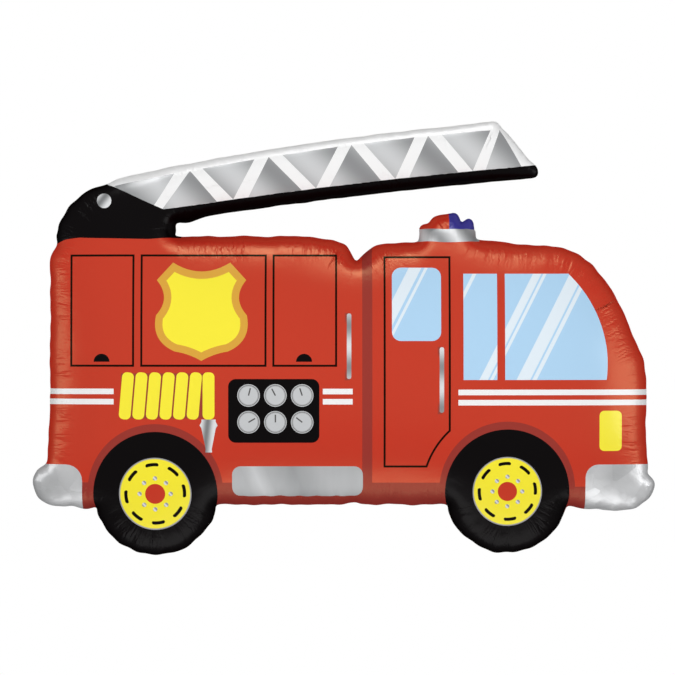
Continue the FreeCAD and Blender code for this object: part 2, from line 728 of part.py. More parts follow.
# name, its prism, the prints that lie over it, its zone, whether it runs over the weld
PRINTS = [
    ("gauge_dials", gauge_dials(), [], "box_side", False),
    ("gauge_board", gauge_board(), ["gauge_dials"], "box_side", False),
    ("hose", hose(), [], "box_side", False),
    ("hose_nozzle", hose_nozzle(), [], "box_side", False),
    ("shield_face", shield_face, [], "box_side", False),
    ("shield_rim", shield_whole, ["shield_face"], "box_side", False),
    ("handles", handles(), [], "film", False),
    ("latches", latches(), [], "box_side", False),
    ("windows", windows(), [], "cab_side", False),
    ("headlamp", card_between("headlamp_prism", *LAMP_PRINT), [], "cab_side", False),
    ("running_board", running_board(), [], "foot", False),
    ("hub_centres", dots, [], "foot", False),
    ("wheel_hubs", hubs, ["hub_centres"], "foot", False),
    ("rear_tyre", rear_tyre, ["wheel_hubs"], "foot", True),
    ("front_tyre", front_tyre, ["wheel_hubs"], "foot", True),
    ("shade", shade(), ["rear_tyre", "front_tyre", "running_board"], "film", True),
    ("stripes", stripes(), [], "film", True),
    ("rear_bumper", bumper_print("rear_bumper", *REAR_BUMPER), [], "foot", True),
    ("front_bumper", bumper_print("front_bumper", *FRONT_BUMPER), [], "foot", True),
    ("pivot_bolt", disc("bolt_prism", PIVOT, f"{TOP} + 53.7", "Sizes.bolt_radius"), [], "roof", False),
    ("turntable", turntable(), ["pivot_bolt"], "roof", True),
    ("beacon_base", base_prism, [], "roof", True),
    ("beacon_red", red_prism, [], "roof", True),
    ("beacon_blue", blue_prism, [], "roof", True),
    ("ladder_panes", panes(), ["turntable"], "roof", False),
    ("ladder_truss", above_rail(), ["ladder_panes", "turntable"], "roof", True),
    ("ladder_rail", rail_space, ["ladder_truss", "turntable", *BEACON_PRINTS], "roof", True),
]


def mirrored(name, piece):
    other = add("Part::Mirroring", name)
    other.Source = piece
    other.Normal = FreeCAD.Vector(0, 1, 0)
    return other


nodes = {}


def keep(name, piece):
    piece.Label = name
    nodes[name] = piece


def keep_pair(name, piece):
    keep(f"{name}_front", piece)
    keep(f"{name}_back", mirrored(f"{name}_mirrored", piece))


prisms = {name: prism for name, prism, *rest in PRINTS}
for name, prism, over, zone, over_weld in PRINTS:
    patch = take("Part::Common", f"{name}_whole", zones[zone], prism)
    for other in over:
        patch = take("Part::Cut", f"{name}_less_{other}", patch, prisms[other])
    if over_weld:
        keep_pair(name, patch)
    else:
        both = add("Part::Compound", f"{name}_both")
        both.Links = [patch, mirrored(f"{name}_mirrored", patch)]
        keep(name, both)
keep_pair("body", take("Part::Cut", "body_patch", front_film, join("all_prints", list(prisms.values()))))

# The weld: the lobes grown by its width, kept where the two films lie flat together.
grown = swollen("grown", "-Sizes.seam_width")
weld_space = block("weld_space", -3 * REACH, 3 * REACH, -3 * REACH, 3 * REACH)
weld_space.setExpression("Width", "Sizes.film_wall")
weld_space.setExpression("Placement.Base.y", "-Sizes.film_wall")
weld = take("Part::Cut", "weld", take("Part::Common", "flat_film", grown, weld_space), outer)
keep("seam_margin", join("both_welds", [weld, mirrored("weld_mirrored", weld)]))


def fold(name, first, last, wide, rise):
    """A strip of film that follows the back of the box from the weld up, between two insets."""
    near = long_lobe(f"{name}_near", box_sections(), f"-({first})")
    far = long_lobe(f"{name}_far", box_sections(), f"-({last})")
    shell = take("Part::Cut", f"{name}_shell", far, near)
    sides = (f"{TAIL} - {wide} / 2", f"{TAIL} + {wide} / 2")
    strip = block(f"{name}_strip", *sides, f"{BOTTOM} - {PAST}", f"{BOTTOM} + {rise}")
    strip.setExpression("Width", f"{REACH} - Sizes.film_wall")
    return mirrored(f"{name}_behind", take("Part::Common", name, shell, strip))


# The filling tail: two plies welded along their sides, with the valve sleeve between them.
inner_ply = "Sizes.tail_clear + Sizes.film_wall"
outer_ply = "Sizes.tail_clear + 2 * Sizes.film_wall"
tail_outside = "Sizes.tail_clear + 3 * Sizes.film_wall"
plies = fold("plies", "Sizes.tail_clear", tail_outside, "Sizes.tail_width", "Sizes.tail_rise")
sleeve = fold("sleeve", inner_ply, outer_ply, "Sizes.valve_width", "Sizes.tail_rise + Sizes.valve_show")
keep("fill_tail", take("Part::Cut", "tail", plies, sleeve))
keep("valve_sleeve", sleeve)

doc.recompute()
for made in doc.Objects:
    if "Invalid" in made.State or "Error" in made.State:
        raise RuntimeError(f"{made.Name} failed: {made.State}")
for name, piece in nodes.items():
    if piece.Shape.isNull() or not piece.Shape.isValid() or piece.Shape.Volume <= 0:
        raise RuntimeError(f"{name} is not a valid solid")

os.makedirs("parts", exist_ok=True)
for name, piece in nodes.items():
    piece.Shape.exportStep(f"parts/{name}.step")
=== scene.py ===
"""A foil balloon printed as a fire engine: two films welded round one outline and filled.

Both films are one mesh. It is cut flat along every printed outline, raised to the filled balloon's
height, and then relaxed with a little spare length along the weld, so that it puckers there as real
film does. Each printed colour is parted from it as a piece of its own.
"""

import math
from functools import reduce

import bpy
import numpy as np
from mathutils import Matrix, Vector, kdtree
from mathutils.geometry import delaunay_2d_cdt


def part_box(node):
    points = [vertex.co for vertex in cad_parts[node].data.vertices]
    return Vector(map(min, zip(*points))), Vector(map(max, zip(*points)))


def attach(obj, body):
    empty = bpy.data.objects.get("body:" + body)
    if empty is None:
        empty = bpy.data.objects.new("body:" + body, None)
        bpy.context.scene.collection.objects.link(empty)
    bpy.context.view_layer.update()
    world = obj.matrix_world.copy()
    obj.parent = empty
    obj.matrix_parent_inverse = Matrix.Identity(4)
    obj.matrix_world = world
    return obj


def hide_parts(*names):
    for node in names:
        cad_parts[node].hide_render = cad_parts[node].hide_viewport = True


bl_info = {
    "name": "Fire Engine Foil Balloon",
    "version": (1, 0, 0),
    "blender": (4, 5, 0),
    "location": "3D View > Sidebar > Balloon",
    "description": "Builds the film, the prints and the studio of a foil balloon",
    "category": "Object",
}

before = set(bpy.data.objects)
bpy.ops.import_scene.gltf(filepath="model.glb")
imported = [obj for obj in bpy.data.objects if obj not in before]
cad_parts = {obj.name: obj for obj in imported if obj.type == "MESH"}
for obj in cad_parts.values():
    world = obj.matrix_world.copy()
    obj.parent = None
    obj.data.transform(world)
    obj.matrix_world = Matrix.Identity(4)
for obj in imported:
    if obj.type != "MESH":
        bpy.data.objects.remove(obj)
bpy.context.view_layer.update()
MM = 0.001
PAST = 0.1  # what runs out over the weld is drawn this much further than the film


# ---------------------------------------------------------------- sizes and colours


def length(name, value, description):
    return bpy.props.FloatProperty(
        name=name, description=description, default=value * MM, unit="LENGTH", precision=4
    )


def number(name, value, description):
    return bpy.props.FloatProperty(name=name, description=description, default=value)


def ink(name, red, green, blue, description):
    """A printed colour, given as it looks on screen."""
    linear = [((c / 255 + 0.055) / 1.055) ** 2.4 if c > 10 else c / 255 / 12.92 for c in (red, green, blue)]
    return bpy.props.FloatVectorProperty(
        name=name, description=description, subtype="COLOR", size=3, default=linear, min=0, max=1
    )


class FilmSizes(bpy.types.PropertyGroup):
    weld_step: length("Step at the weld", 3.0, "Distance between points of the film near the weld")
    inner_step: length("Step inside", 6.2, "Distance between points of the film away from the weld")
    fine_band: length("Fine band", 46.0, "Width of the finer film along the weld")
    round_off: length("Rounding", 6.5, "How far the corners of the outline are rounded")
    margin: length("Welded margin", 5.0, "Width of the welded margin")
    swell: length("Swell", 2.8, "How far the filled film stands out past the weld")
    puff: number("Puff", 0.6, "Height of the filled film against a round section")
    slack: number("Slack", 0.07, "Share of spare length along the weld")
    slack_band: length("Slack band", 34.0, "How far in from the weld the spare length reaches")
    scallop: length("Scallops", 0.5, "How far the weld is drawn in and out by the puckers")
    fold: length("Folds", 1.3, "Height of the first folds, before the film relaxes")
    rounds: bpy.props.IntProperty(name="Rounds", description="Steps of the relaxation", default=260)
    seed: bpy.props.IntProperty(name="Seed", description="Choice of the puckers", default=7)


class PrintSizes(bpy.types.PropertyGroup):
    line: length("Line", 3.0, "Width of the black lines round lockers and door")
    board_corner: length("Gauge board corner", 11.0, "Corner radius of the gauge board")
    step_corner: length("Running board corner", 12.5, "Corner radius of the running board")
    shield_rim: length("Shield rim", 10.8, "Width of the shield's gold rim")
    hose_pitch: length("Hose pitch", 19.8, "Distance from one turn of the hose to the next")
    hose_width: length("Hose width", 17.3, "Width of the hose")
    hub_rim: length("Hub rim", 1.8, "Width of the grey line round a hub")
    stripe_gap: length("Stripe gap", 6.8, "Red between the two white stripes")
    arch: length("Arch", 8.4, "Width of the dark arch over a wheel")
    sill: length("Sill", 31.0, "Height of the dark sill")
    pillar: length("Pillar", 14.6, "Width of the dark pillar")


class InkColours(bpy.types.PropertyGroup):
    red: ink("Red", 200, 44, 30, "Engine red")
    dark_red: ink("Dark red", 156, 50, 46, "Shade under the body and beside the gap")
    black: ink("Black", 5, 2, 3, "Tyres, ladder rail and lines")
    white: ink("White", 247, 247, 247, "Ladder truss and stripes")
    yellow: ink("Yellow", 255, 240, 42, "Hose, hubs, shield and headlamp")
    gold: ink("Gold", 224, 166, 46, "Rim of the shield")
    blue: ink("Pale blue", 178, 217, 247, "Windows")
    glint: ink("Glint", 231, 243, 252, "Slanted glints on the windows")
    deep_blue: ink("Deep blue", 56, 50, 148, "Blue half of the beacon")
    silver: ink("Silver", 186, 188, 191, "Silver areas at their mean")
    dial: ink("Dial", 200, 202, 204, "Gauge dials")


PANEL_GROUPS = {"film_sizes": FilmSizes, "print_sizes": PrintSizes, "ink_colours": InkColours}


def film_sizes():
    return bpy.context.scene.film_sizes


def print_sizes():
    return bpy.context.scene.print_sizes


def colours():
    return bpy.context.scene.ink_colours


# ---------------------------------------------------------------- places read from the frame

body_low, body_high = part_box("body_front")
REAR, FRONT = body_low.x, body_high.x
BOTTOM, TOP = body_low.z, body_high.z
PIVOT = sum(corner.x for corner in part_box("pivot_bolt")) / 2
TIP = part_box("ladder_rail_front")[1].x
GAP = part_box("running_board")[1].x - 9.5 * MM


def span(node):
    """Middle and size of a node along X and Z."""
    low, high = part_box(node)
    return (low.x + high.x) / 2, (low.z + high.z) / 2, high.x - low.x, high.z - low.z


def two_wheels(node):
    """Places of the rear and front circle of a node that has one in each wheel, and their radius."""
    low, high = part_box(node)
    radius = (high.z - low.z) / 2
    return [low.x + radius, high.x - radius], (low.z + high.z) / 2, radius


WHEELS, WHEEL_HEIGHT, HUB_RADIUS = two_wheels("wheel_hubs")
DOT_RADIUS = two_wheels("hub_centres")[2]
TYRE_RADIUS = span("rear_tyre_front")[2] / 2
# how far the front wheel's print is shifted and shrunk against the rear one's
FRONT_SHIFT = (-2.2 * MM, 3.6 * MM)
FRONT_SHRINK = 0.957
FRONT_WHEEL = (WHEELS[1] + FRONT_SHIFT[0], WHEEL_HEIGHT + FRONT_SHIFT[1])


# ---------------------------------------------------------------- printed outlines, as seen from the front


def ring(x, z, radius):
    count = max(24, int(2 * math.pi * radius / (2.6 * MM)))
    turns = np.arange(count) * 2 * math.pi / count
    return np.stack([x + radius * np.cos(turns), z + radius * np.sin(turns)], 1)


def wheel_rings(radius, shrink=FRONT_SHRINK):
    """A circle in each wheel."""
    front_x, front_z = FRONT_WHEEL
    return [ring(WHEELS[0], WHEEL_HEIGHT, radius), ring(front_x, front_z, radius * shrink)]


def card(x, z, wide, tall, corner, lean=0.0):
    """A rounded rectangle, leaning forwards by some degrees."""
    quarter = np.linspace(0, math.pi / 2, 7)
    points = []
    for number, (side, up) in enumerate([(1, 1), (-1, 1), (-1, -1), (1, -1)]):
        turns = quarter + number * math.pi / 2
        across = side * (wide / 2 - corner) + corner * np.cos(turns)
        points.append(np.stack([across, up * (tall / 2 - corner) + corner * np.sin(turns)], 1))
    points = np.vstack(points)
    slant = math.radians(lean)
    right = np.array([math.cos(slant), -math.sin(slant)])
    rise = np.array([math.sin(slant), math.cos(slant)])
    return points[:, :1] * right + points[:, 1:] * rise + [x, z]


def box_outline(left, right, low, high):
    return np.array([(left, low), (right, low), (right, high), (left, high)])


def bowed(corners):
    """A closed outline from x, z and how far each edge bows out to the left of its run, in millimetres."""
    points = []
    for number, (x, z, bow) in enumerate(corners):
        start = np.array([x, z])
        finish = np.array(corners[(number + 1) % len(corners)][:2])
        run = finish - start
        left = np.array([-run[1], run[0]]) / np.linalg.norm(run)
        steps = 12 if bow else 1
        for share in np.arange(steps) / steps:
            points.append(start + run * share + left * bow * MM * 4 * share * (1 - share))
    return np.array(points)


def chord_height(x):
    """Upper edge of the ladder's panes."""
    out = (x - PIVOT) / MM
    return TOP + (72.0 + 0.2196 * out - out**2 / (2 * 4080.0)) * MM


def rail_height(x):
    """Upper edge of the ladder's rail."""
    out = (x - PIVOT) / MM
    return TOP + (27.7 + 0.1685 * out - out**2 / (2 * 7300.0)) * MM


# the dials' print against their nodes
DIAL_SHIFT = (2.3 * MM, 3.0 * MM)
DIAL_PITCH_SHARE, DIAL_RADIUS_SHARE = 0.98, 0.965


def dial_places():
    """Middles of the six dials and their radius."""
    x, z, wide, tall = span("gauge_dials")
    pitch = DIAL_PITCH_SHARE * (wide - tall)
    x, z = x + DIAL_SHIFT[0], z + DIAL_SHIFT[1]
    places = [(x + column * pitch, z + line * pitch) for line in (0.5, -0.5) for column in (-1, 0, 1)]
    return places, DIAL_RADIUS_SHARE * (tall - wide / 2)


def dial_rings():
    places, radius = dial_places()
    return [ring(x, z, radius) for x, z in places]


def hose_turns():
    """Six leaning turns and the run that ends in the nozzle."""
    x, z, wide, tall = span("hose")
    sizes = print_sizes()
    corner = sizes.hose_width * 0.4
    first = x - wide / 2 + sizes.hose_width / 2 + 3 * MM
    places = [first + count * sizes.hose_pitch for count in range(6)]
    turns = [card(place, z, sizes.hose_width, tall, corner, 5.0) for place in places]
    return turns + [card(x + wide / 2 - sizes.hose_width / 2, z, sizes.hose_width, tall, corner)]


# half the width of the nozzle and how far below the hose's end, in millimetres
NOZZLE = [(10.3, 0), (10.3, 3.5), (13.1, 8.5), (10.4, 13), (4.4, 43), (4.9, 48)]


def nozzle():
    x, z, wide, tall = span("hose_nozzle")
    high = z + tall / 2
    right = [(x + half * MM, high - below * MM) for half, below in NOZZLE]
    left = [(x - half * MM, high - below * MM) for half, below in reversed(NOZZLE)]
    return [np.array(right + left)]


# ahead of the shield's middle, above the origin, how far the edge to the next corner bows out, in millimetres
SHIELD_HALF = [(41.6, 153.7, 0), (65.0, 128.2, -11), (66.0, 77.0, 12), (38.8, 24.4, -2)]
SHIELD_POINT = 10.7
SHIELD_DIP = 13.0


def shield_whole():
    x = span("shield_rim")[0]
    right = [(x + half * MM, height * MM, bow) for half, height, bow in SHIELD_HALF]
    bows = [bow for half, height, bow in SHIELD_HALF]
    left = []
    for (half, height, bow), bow_back in zip(reversed(SHIELD_HALF), reversed([0] + bows[:-1])):
        left.append((x - half * MM, height * MM, bow_back))
    left[-1] = (*left[-1][:2], -SHIELD_DIP)
    # an edge listed clockwise bows to the left of its run, which is outwards
    return bowed(right + [(x, SHIELD_POINT * MM, bows[-1])] + left)


def drawn_in(points, distance):
    """An outline drawn in by a distance, corner by corner; it runs clockwise."""
    before = points - np.roll(points, 1, 0)
    after = np.roll(points, -1, 0) - points
    before /= np.linalg.norm(before, axis=1)[:, None]
    after /= np.linalg.norm(after, axis=1)[:, None]
    inward_before = np.stack([before[:, 1], -before[:, 0]], 1)
    inward_after = np.stack([after[:, 1], -after[:, 0]], 1)
    bisector = inward_before + inward_after
    bisector /= (bisector * inward_after).sum(1)[:, None]
    return points + bisector * distance


def latch_halves():
    x, z, wide, tall = span("latches")
    turns = np.linspace(0, math.pi, 14)
    moon = np.stack([np.cos(turns), np.sin(turns)], 1) * tall
    low = z - tall / 2
    return [moon + [x - wide / 2 + tall, low], moon + [x + wide / 2 - tall, low]]


def window_panes():
    """The door's window, the fixed one and the quarter window with its bowed front."""
    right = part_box("windows")[1].x
    low, high = -17.0 * MM, 137.5 * MM
    door = card(GAP + 87.3 * MM, 92.9 * MM, 71.4 * MM, 106.6 * MM, 13.0 * MM)
    fixed = box_outline(FRONT - 265.5 * MM, FRONT - 216.4 * MM, low, high)
    quarter = [
        (FRONT - 205.0 * MM, low, 0),
        (right - 1.5 * MM, low, -1.5),
        (right - 1.5 * MM, 31.0 * MM, -10.0),
        (right - 57.0 * MM, high, 0),
        (FRONT - 205.0 * MM, high, 0),
    ]
    return [door, fixed, bowed(quarter)]


def handle_bars():
    x, z, wide, tall = span("handles")
    bar_wide, bar_tall = 6.6 * MM, 95.0 * MM
    over, up = (wide - bar_wide) / 2, (tall - bar_tall) / 2
    return [card(x - side * over, z + side * up, bar_wide, bar_tall, bar_wide * 0.45) for side in (1, -1)]


def shade_parts():
    """Arches over the wheels, the sill, lower ahead of the front wheel, and the pillar beside the gap."""
    sizes = print_sizes()
    low, sill = BOTTOM - PAST, BOTTOM + sizes.sill
    arches = [line + [0, 2.9 * MM] for line in wheel_rings(TYRE_RADIUS + sizes.arch, 1)]
    left = GAP + 8.5 * MM
    return arches + [
        box_outline(REAR - PAST, WHEELS[0], low, sill),
        box_outline(WHEELS[0], WHEELS[1], low, sill),
        box_outline(WHEELS[1], FRONT + PAST, low, sill - 6 * MM),
        box_outline(left, left + sizes.pillar, sill, TOP + 6 * MM),
    ]


def stripe_lines():
    """Two white lines, broken by the hose, the gauge board and the cab's door."""
    low, high = (corner.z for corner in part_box("stripes_front"))
    low, high = low + 1.2 * MM, high + 0.6 * MM
    wide = (high - low - print_sizes().stripe_gap) / 2
    # ends, and how much lower a run lies than the first
    runs = [
        (REAR - PAST, REAR + 96 * MM, 0),
        (GAP - 48.8 * MM, GAP - 5.5 * MM, 0),
        (GAP + 148 * MM, FRONT + PAST, 1.4 * MM),
    ]
    lines = []
    for left, right, drop in runs:
        for bottom in (low - drop, high - wide - drop):
            lines.append(box_outline(left, right, bottom, bottom + wide))
    return lines


def below_sill(x):
    """All of the film that hangs below the sill at a wheel."""
    return box_outline(x - 110 * MM, x + 110 * MM, BOTTOM - PAST, BOTTOM - 14 * MM)


def bumper_area(left, right, corner):
    """A rounded card that runs out over the weld."""
    top, low = BOTTOM + 57 * MM, BOTTOM - 60 * MM
    return [card((left + right) / 2, (top + low) / 2, right - left, top - low, corner)]


TRUSS_ROOT = PIVOT + 86 * MM


def turntable_area():
    """All of the film between the roof and the ladder's root."""
    roof = TOP - 2 * MM
    corners = [
        (REAR - PAST, roof - 6 * MM),
        (REAR + 12 * MM, roof - 6 * MM),
        (REAR + 25 * MM, roof - 1 * MM),
        (REAR + 45 * MM, roof + 2 * MM),
        (TRUSS_ROOT - 20 * MM, roof),
        (TRUSS_ROOT + 26 * MM, roof + 2 * MM),
        (TRUSS_ROOT + 26 * MM, TOP + 25 * MM),
        (TRUSS_ROOT, rail_height(TRUSS_ROOT)),
        (PIVOT, TOP + 80 * MM),
        (PIVOT - 10 * MM, TOP + 2 * PAST),
        (REAR - PAST, TOP + 2 * PAST),
    ]
    return [np.array(corners)]


# ahead of the pivot: left corner, right corner, point; a pane hangs from the upper edge or stands on the rail
PANES = [
    ("hang", 14, 102, 67),
    ("stand", 84, 164, 125),
    ("hang", 143, 219, 188),
    ("stand", 210, 288, 240),
    ("hang", 260, 341, 309),
    ("stand", 329, 404, 361),
    ("hang", 379, 453, 425),
    ("stand", 445, 517, 473),
    ("hang", 493, 564, 538),
    ("stand", 557, 609, 578),
]


def ladder_openings():
    panes = []
    for kind, left, right, point in PANES:
        near, far = (chord_height, rail_height) if kind == "hang" else (rail_height, chord_height)
        left, right, point = (PIVOT + out * MM for out in (left, right, point))
        base = np.linspace(left, right, 8)
        panes.append(np.array([(x, near(x)) for x in base] + [(point, far(point))]))
    return panes


def above_rail():
    left, right, high = PIVOT - PAST, TIP + PAST, TOP + 4 * PAST
    along = np.linspace(left, right, 60)
    return [np.array([(x, rail_height(x)) for x in along] + [(right, high), (left, high)])]


def beacon_area(node):
    """The base between two sagging lines, or a half of the lamp over it."""
    x, z, wide, tall = span(node)
    left, right = x - wide / 2, x + wide / 2
    if node == "beacon_base_front":
        left, right = left - 6 * MM, right + 4 * MM
        across = np.linspace(left, right, 15)
        sag = 1.6 * MM * (1 - ((across - x) / (right - x)) ** 2)
        low = np.stack([across, z - tall / 2 - sag], 1)
        high = np.stack([across, z + tall / 2 - 0.6 * MM - sag], 1)
        return [np.concatenate([low, high[::-1]])]
    if node == "beacon_red_front":
        left -= 12 * MM
    else:
        right += 12 * MM
    return [box_outline(left, right, z - tall / 2 - 4 * MM, z + tall / 2 + 12 * MM)]


def printed_areas():
    """Each print with its outlines, an earlier one over a later one."""
    sizes = print_sizes()
    step_x, step_z, step_wide, step_tall = span("running_board")
    step = card(step_x, step_z + 1.4 * MM, step_wide, step_tall - 2.8 * MM, sizes.step_corner)
    bolt_x, bolt_z, bolt_wide, _ = span("pivot_bolt")
    rear_tyre, front_tyre = wheel_rings(TYRE_RADIUS, 1)
    shield = shield_whole()
    return [
        ("gauge_dials", dial_rings()),
        ("gauge_board", [card(*span("gauge_board"), sizes.board_corner)]),
        ("hose", hose_turns()),
        ("hose_nozzle", nozzle()),
        ("shield_face", [drawn_in(shield, sizes.shield_rim)]),
        ("shield_rim", [shield]),
        ("handles", handle_bars()),
        ("latches", latch_halves()),
        ("windows", window_panes()),
        ("headlamp", [card(*span("headlamp"), 7.0 * MM)]),
        ("running_board", [step]),
        ("hub_centres", wheel_rings(DOT_RADIUS)),
        ("wheel_hubs", wheel_rings(HUB_RADIUS)),
        ("rear_tyre", [rear_tyre, below_sill(WHEELS[0])]),
        ("front_tyre", [front_tyre, below_sill(WHEELS[1])]),
        ("rear_bumper", bumper_area(REAR - 60 * MM, REAR + 49 * MM, 24 * MM)),
        ("front_bumper", bumper_area(FRONT - 87 * MM, FRONT + 60 * MM, 19 * MM)),
        ("shade", shade_parts()),
        ("stripes", stripe_lines()),
        ("pivot_bolt", [ring(bolt_x, bolt_z, bolt_wide / 2)]),
        ("turntable", turntable_area()),
        ("beacon_base", beacon_area("beacon_base_front")),
        ("beacon_red", beacon_area("beacon_red_front")),
        ("beacon_blue", beacon_area("beacon_blue_front")),
        ("ladder_panes", ladder_openings()),
        ("ladder_truss", above_rail()),
        ("ladder_rail", [box_outline(PIVOT - 2 * PAST, TIP + 2 * PAST, TOP + 6 * MM, TOP + 5 * PAST)]),
    ]


# ---------------------------------------------------------------- the film

SAME_POINT = 5 * MM / 1000


def loose_triangles(mesh):
    """The points and triangles of a mesh as arrays."""
    mesh.calc_loop_triangles()
    points = np.empty(len(mesh.vertices) * 3)
    triangles = np.empty(len(mesh.loop_triangles) * 3, np.int64)
    mesh.vertices.foreach_get("co", points)
    mesh.loop_triangles.foreach_get("vertices", triangles)
    return points.reshape(-1, 3), triangles.reshape(-1, 3)


def doubled_areas(flat, faces):
    """Twice the area of each flat triangle, below 0 where it runs clockwise."""
    a, b, c = (flat[faces[:, k]] for k in range(3))
    return (b[:, 0] - a[:, 0]) * (c[:, 1] - a[:, 1]) - (b[:, 1] - a[:, 1]) * (c[:, 0] - a[:, 0])


def weld_outline():
    """The weld's inner edge, read from the margin's solid: a closed line with its inside on the left."""
    points, triangles = loose_triangles(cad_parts["seam_margin"].data)
    keys = np.round(points[:, [0, 2]] / SAME_POINT).astype(np.int64)
    keys, index = np.unique(keys, axis=0, return_inverse=True)
    flat = keys * SAME_POINT
    corners = index.reshape(-1)[triangles]
    in_front = points[triangles][:, :, 1].mean(1) < 1e-6
    facing = corners[(doubled_areas(flat, corners) > 1e-10) & in_front]
    times = {}
    for tri in facing.tolist():
        for edge in zip(tri, tri[1:] + tri[:1]):
            times[edge] = times.get(edge, 0) + 1
    follow = {}
    for (start, finish), number in times.items():
        if number > times.get((finish, start), 0):
            follow.setdefault(start, []).append(finish)
    loops = []
    while follow:
        here = next(iter(follow))
        loop = []
        while here in follow:
            loop.append(here)
            after = follow[here].pop()
            if not follow[here]:
                del follow[here]
            here = after
        loops.append(flat[loop])
    whole = [loop for loop in loops if np.ptp(loop[:, 0]) > 0.9 * (FRONT - REAR)]
    return min(whole, key=lambda loop: np.ptp(loop[:, 0]))[::-1]


def resampled(points, step):
    """A closed line with even steps."""
    closed = np.vstack([points, points[:1]])
    along = np.r_[0, np.cumsum(np.linalg.norm(np.diff(closed, axis=0), axis=1))]
    count = int(along[-1] / step)
    places = np.arange(count) * along[-1] / count
    return np.stack([np.interp(places, along, closed[:, k]) for k in range(2)], 1)


def rounded(points, reach):
    """A closed, evenly stepped line with its corners rounded."""
    total = np.linalg.norm(np.roll(points, -1, 0) - points, axis=1).sum()
    wave = np.fft.fft(points[:, 0] + 1j * points[:, 1])
    turns = np.fft.fftfreq(len(points)) * len(points)
    wave *= np.exp(-0.5 * (turns * 2 * math.pi / total * reach * 0.6) ** 2)
    line = np.fft.ifft(wave)
    return np.stack([line.real, line.imag], 1)


def filled_in(points):
    """A closed line whose hollow corner at the ladder's root is rounded, as film spans it."""
    upper = (points[:, 1] > TOP + 8 * MM) & (points[:, 0] < PIVOT + 160 * MM)
    for _ in range(160):
        before, after = np.roll(points, 1, 0) - points, np.roll(points, -1, 0) - points
        hollow = upper & (before[:, 0] * after[:, 1] - before[:, 1] * after[:, 0] > 0)
        points = points + 0.5 * (before + after) / 2 * hollow[:, None]
    return points


def directions(points, steps):
    """Where a closed line runs to at each point, taken over a few steps to each side."""
    ahead = np.roll(points, -steps, 0) - np.roll(points, steps, 0)
    return ahead / np.linalg.norm(ahead, axis=1)[:, None]


def stood_out(points, distance):
    """A closed line, its inside on its left, moved outwards without loops at its hollow corners."""
    ahead = directions(points, 3)
    moved = points + np.stack([ahead[:, 1], -ahead[:, 0]], 1) * distance
    return moved[nearest(tree_of(points), moved)[1] > 0.98 * distance]


# where the filled film stands further out or in than its weld:
# its place along X and Z, its reach, and how far along X and Z
SWELLS = [
    (-430, 130, 40, 3, 0),
    (-430, 65, 55, 4, 0),
    (-430, -40, 60, 4, 0),
    (-452, -163, 26, -4, 2),
    (-385, -200, 26, 0, -9),
    (455, -160, 30, 6, 1),
    (362, -205, 28, 0, -7),
    (338, 172, 34, 3, 6),
    (442, -6, 30, 3, 0),
    (-252, 202, 12, 8, 0),
    (-228, 218, 17, 0, -6),
    (17, 160, 10, 0, -4),
    (-428, 183, 7, 7, 0),
]
ROUND_WHEELS = 0.85  # how far a wheel's outline is pushed to a true circle
# the beacon's lamps bulge apart, which is finer than the outline's rounding
LAMP_HUMPS = [
    (173, 220, 6, -2, -9),
    (160, 224, 9, 1, 2.2),
    (185, 216, 7, 1, 1.5),
    (124, 214, 6, 2, -5.5),
    (115, 205, 7, -5, 0),
    (198, 190, 9, -4, 0),
]


def trued(points):
    """The outline pushed out to round wheels, and out or in where the filled film stands so."""
    points = points.copy()
    for x, z in ((WHEELS[0], WHEEL_HEIGHT), FRONT_WHEEL):
        out = points - [x, z]
        reach = np.linalg.norm(out, axis=1)
        beside = np.abs(out[:, 0]) < TYRE_RADIUS + 10 * MM
        below = np.clip((BOTTOM - points[:, 1]) / (8 * MM), 0, 1) * beside
        points += out * (ROUND_WHEELS * below * (TYRE_RADIUS - reach) / reach)[:, None]
    return pushed(points, SWELLS)


def pushed(points, places):
    """Points moved along and up near some places, all in millimetres."""
    points = points.copy()
    for x, z, wide, along, up in places:
        near = np.exp(-((points - [x * MM, z * MM]) ** 2).sum(1) / (wide * MM) ** 2)
        points += near[:, None] * np.array([along, up]) * MM
    return points


def untangled(points, reach):
    """A closed line without its small loops: it goes on where it comes back to itself."""
    kept = []
    here = 0
    while here < len(points):
        kept.append(points[here])
        ahead = points[here + 3 : here + 40]
        met = np.where(np.linalg.norm(ahead - points[here], axis=1) < reach)[0]
        here += met[-1] + 3 if len(met) else 1
    return np.array(kept)


def split_edges(points, step):
    """A closed line with every edge cut to pieces no longer than a step."""
    made = []
    for start, finish in zip(points, np.roll(points, -1, 0)):
        count = max(1, math.ceil(np.linalg.norm(finish - start) / step))
        made += [start + (finish - start) * share / count for share in range(count)]
    return np.array(made)


def inside(points, line):
    """Which points lie inside a closed line."""
    found = np.zeros(len(points), bool)
    for (ax, az), (bx, bz) in zip(line, np.roll(line, -1, 0)):
        if az == bz:
            continue
        crosses = (az > points[:, 1]) != (bz > points[:, 1])
        found ^= crosses & (points[:, 0] < (bx - ax) * (points[:, 1] - az) / (bz - az) + ax)
    return found


def tree_of(points):
    tree = kdtree.KDTree(len(points))
    for number, point in enumerate(points):
        tree.insert((point[0], point[1], 0), number)
    tree.balance()
    return tree


def nearest(tree, points):
    found = [tree.find((x, z, 0)) for x, z in points]
    return np.array([f[1] for f in found]), np.array([f[2] for f in found])


def lattice(low, high, step):
    rise = step * math.sqrt(3) / 2
    rows = []
    for number, z in enumerate(np.arange(low[1], high[1], rise)):
        along = np.arange(low[0] + (step / 2 if number % 2 else 0), high[0], step)
        rows.append(np.stack([along, np.full_like(along, z)], 1))
    return np.vstack(rows)


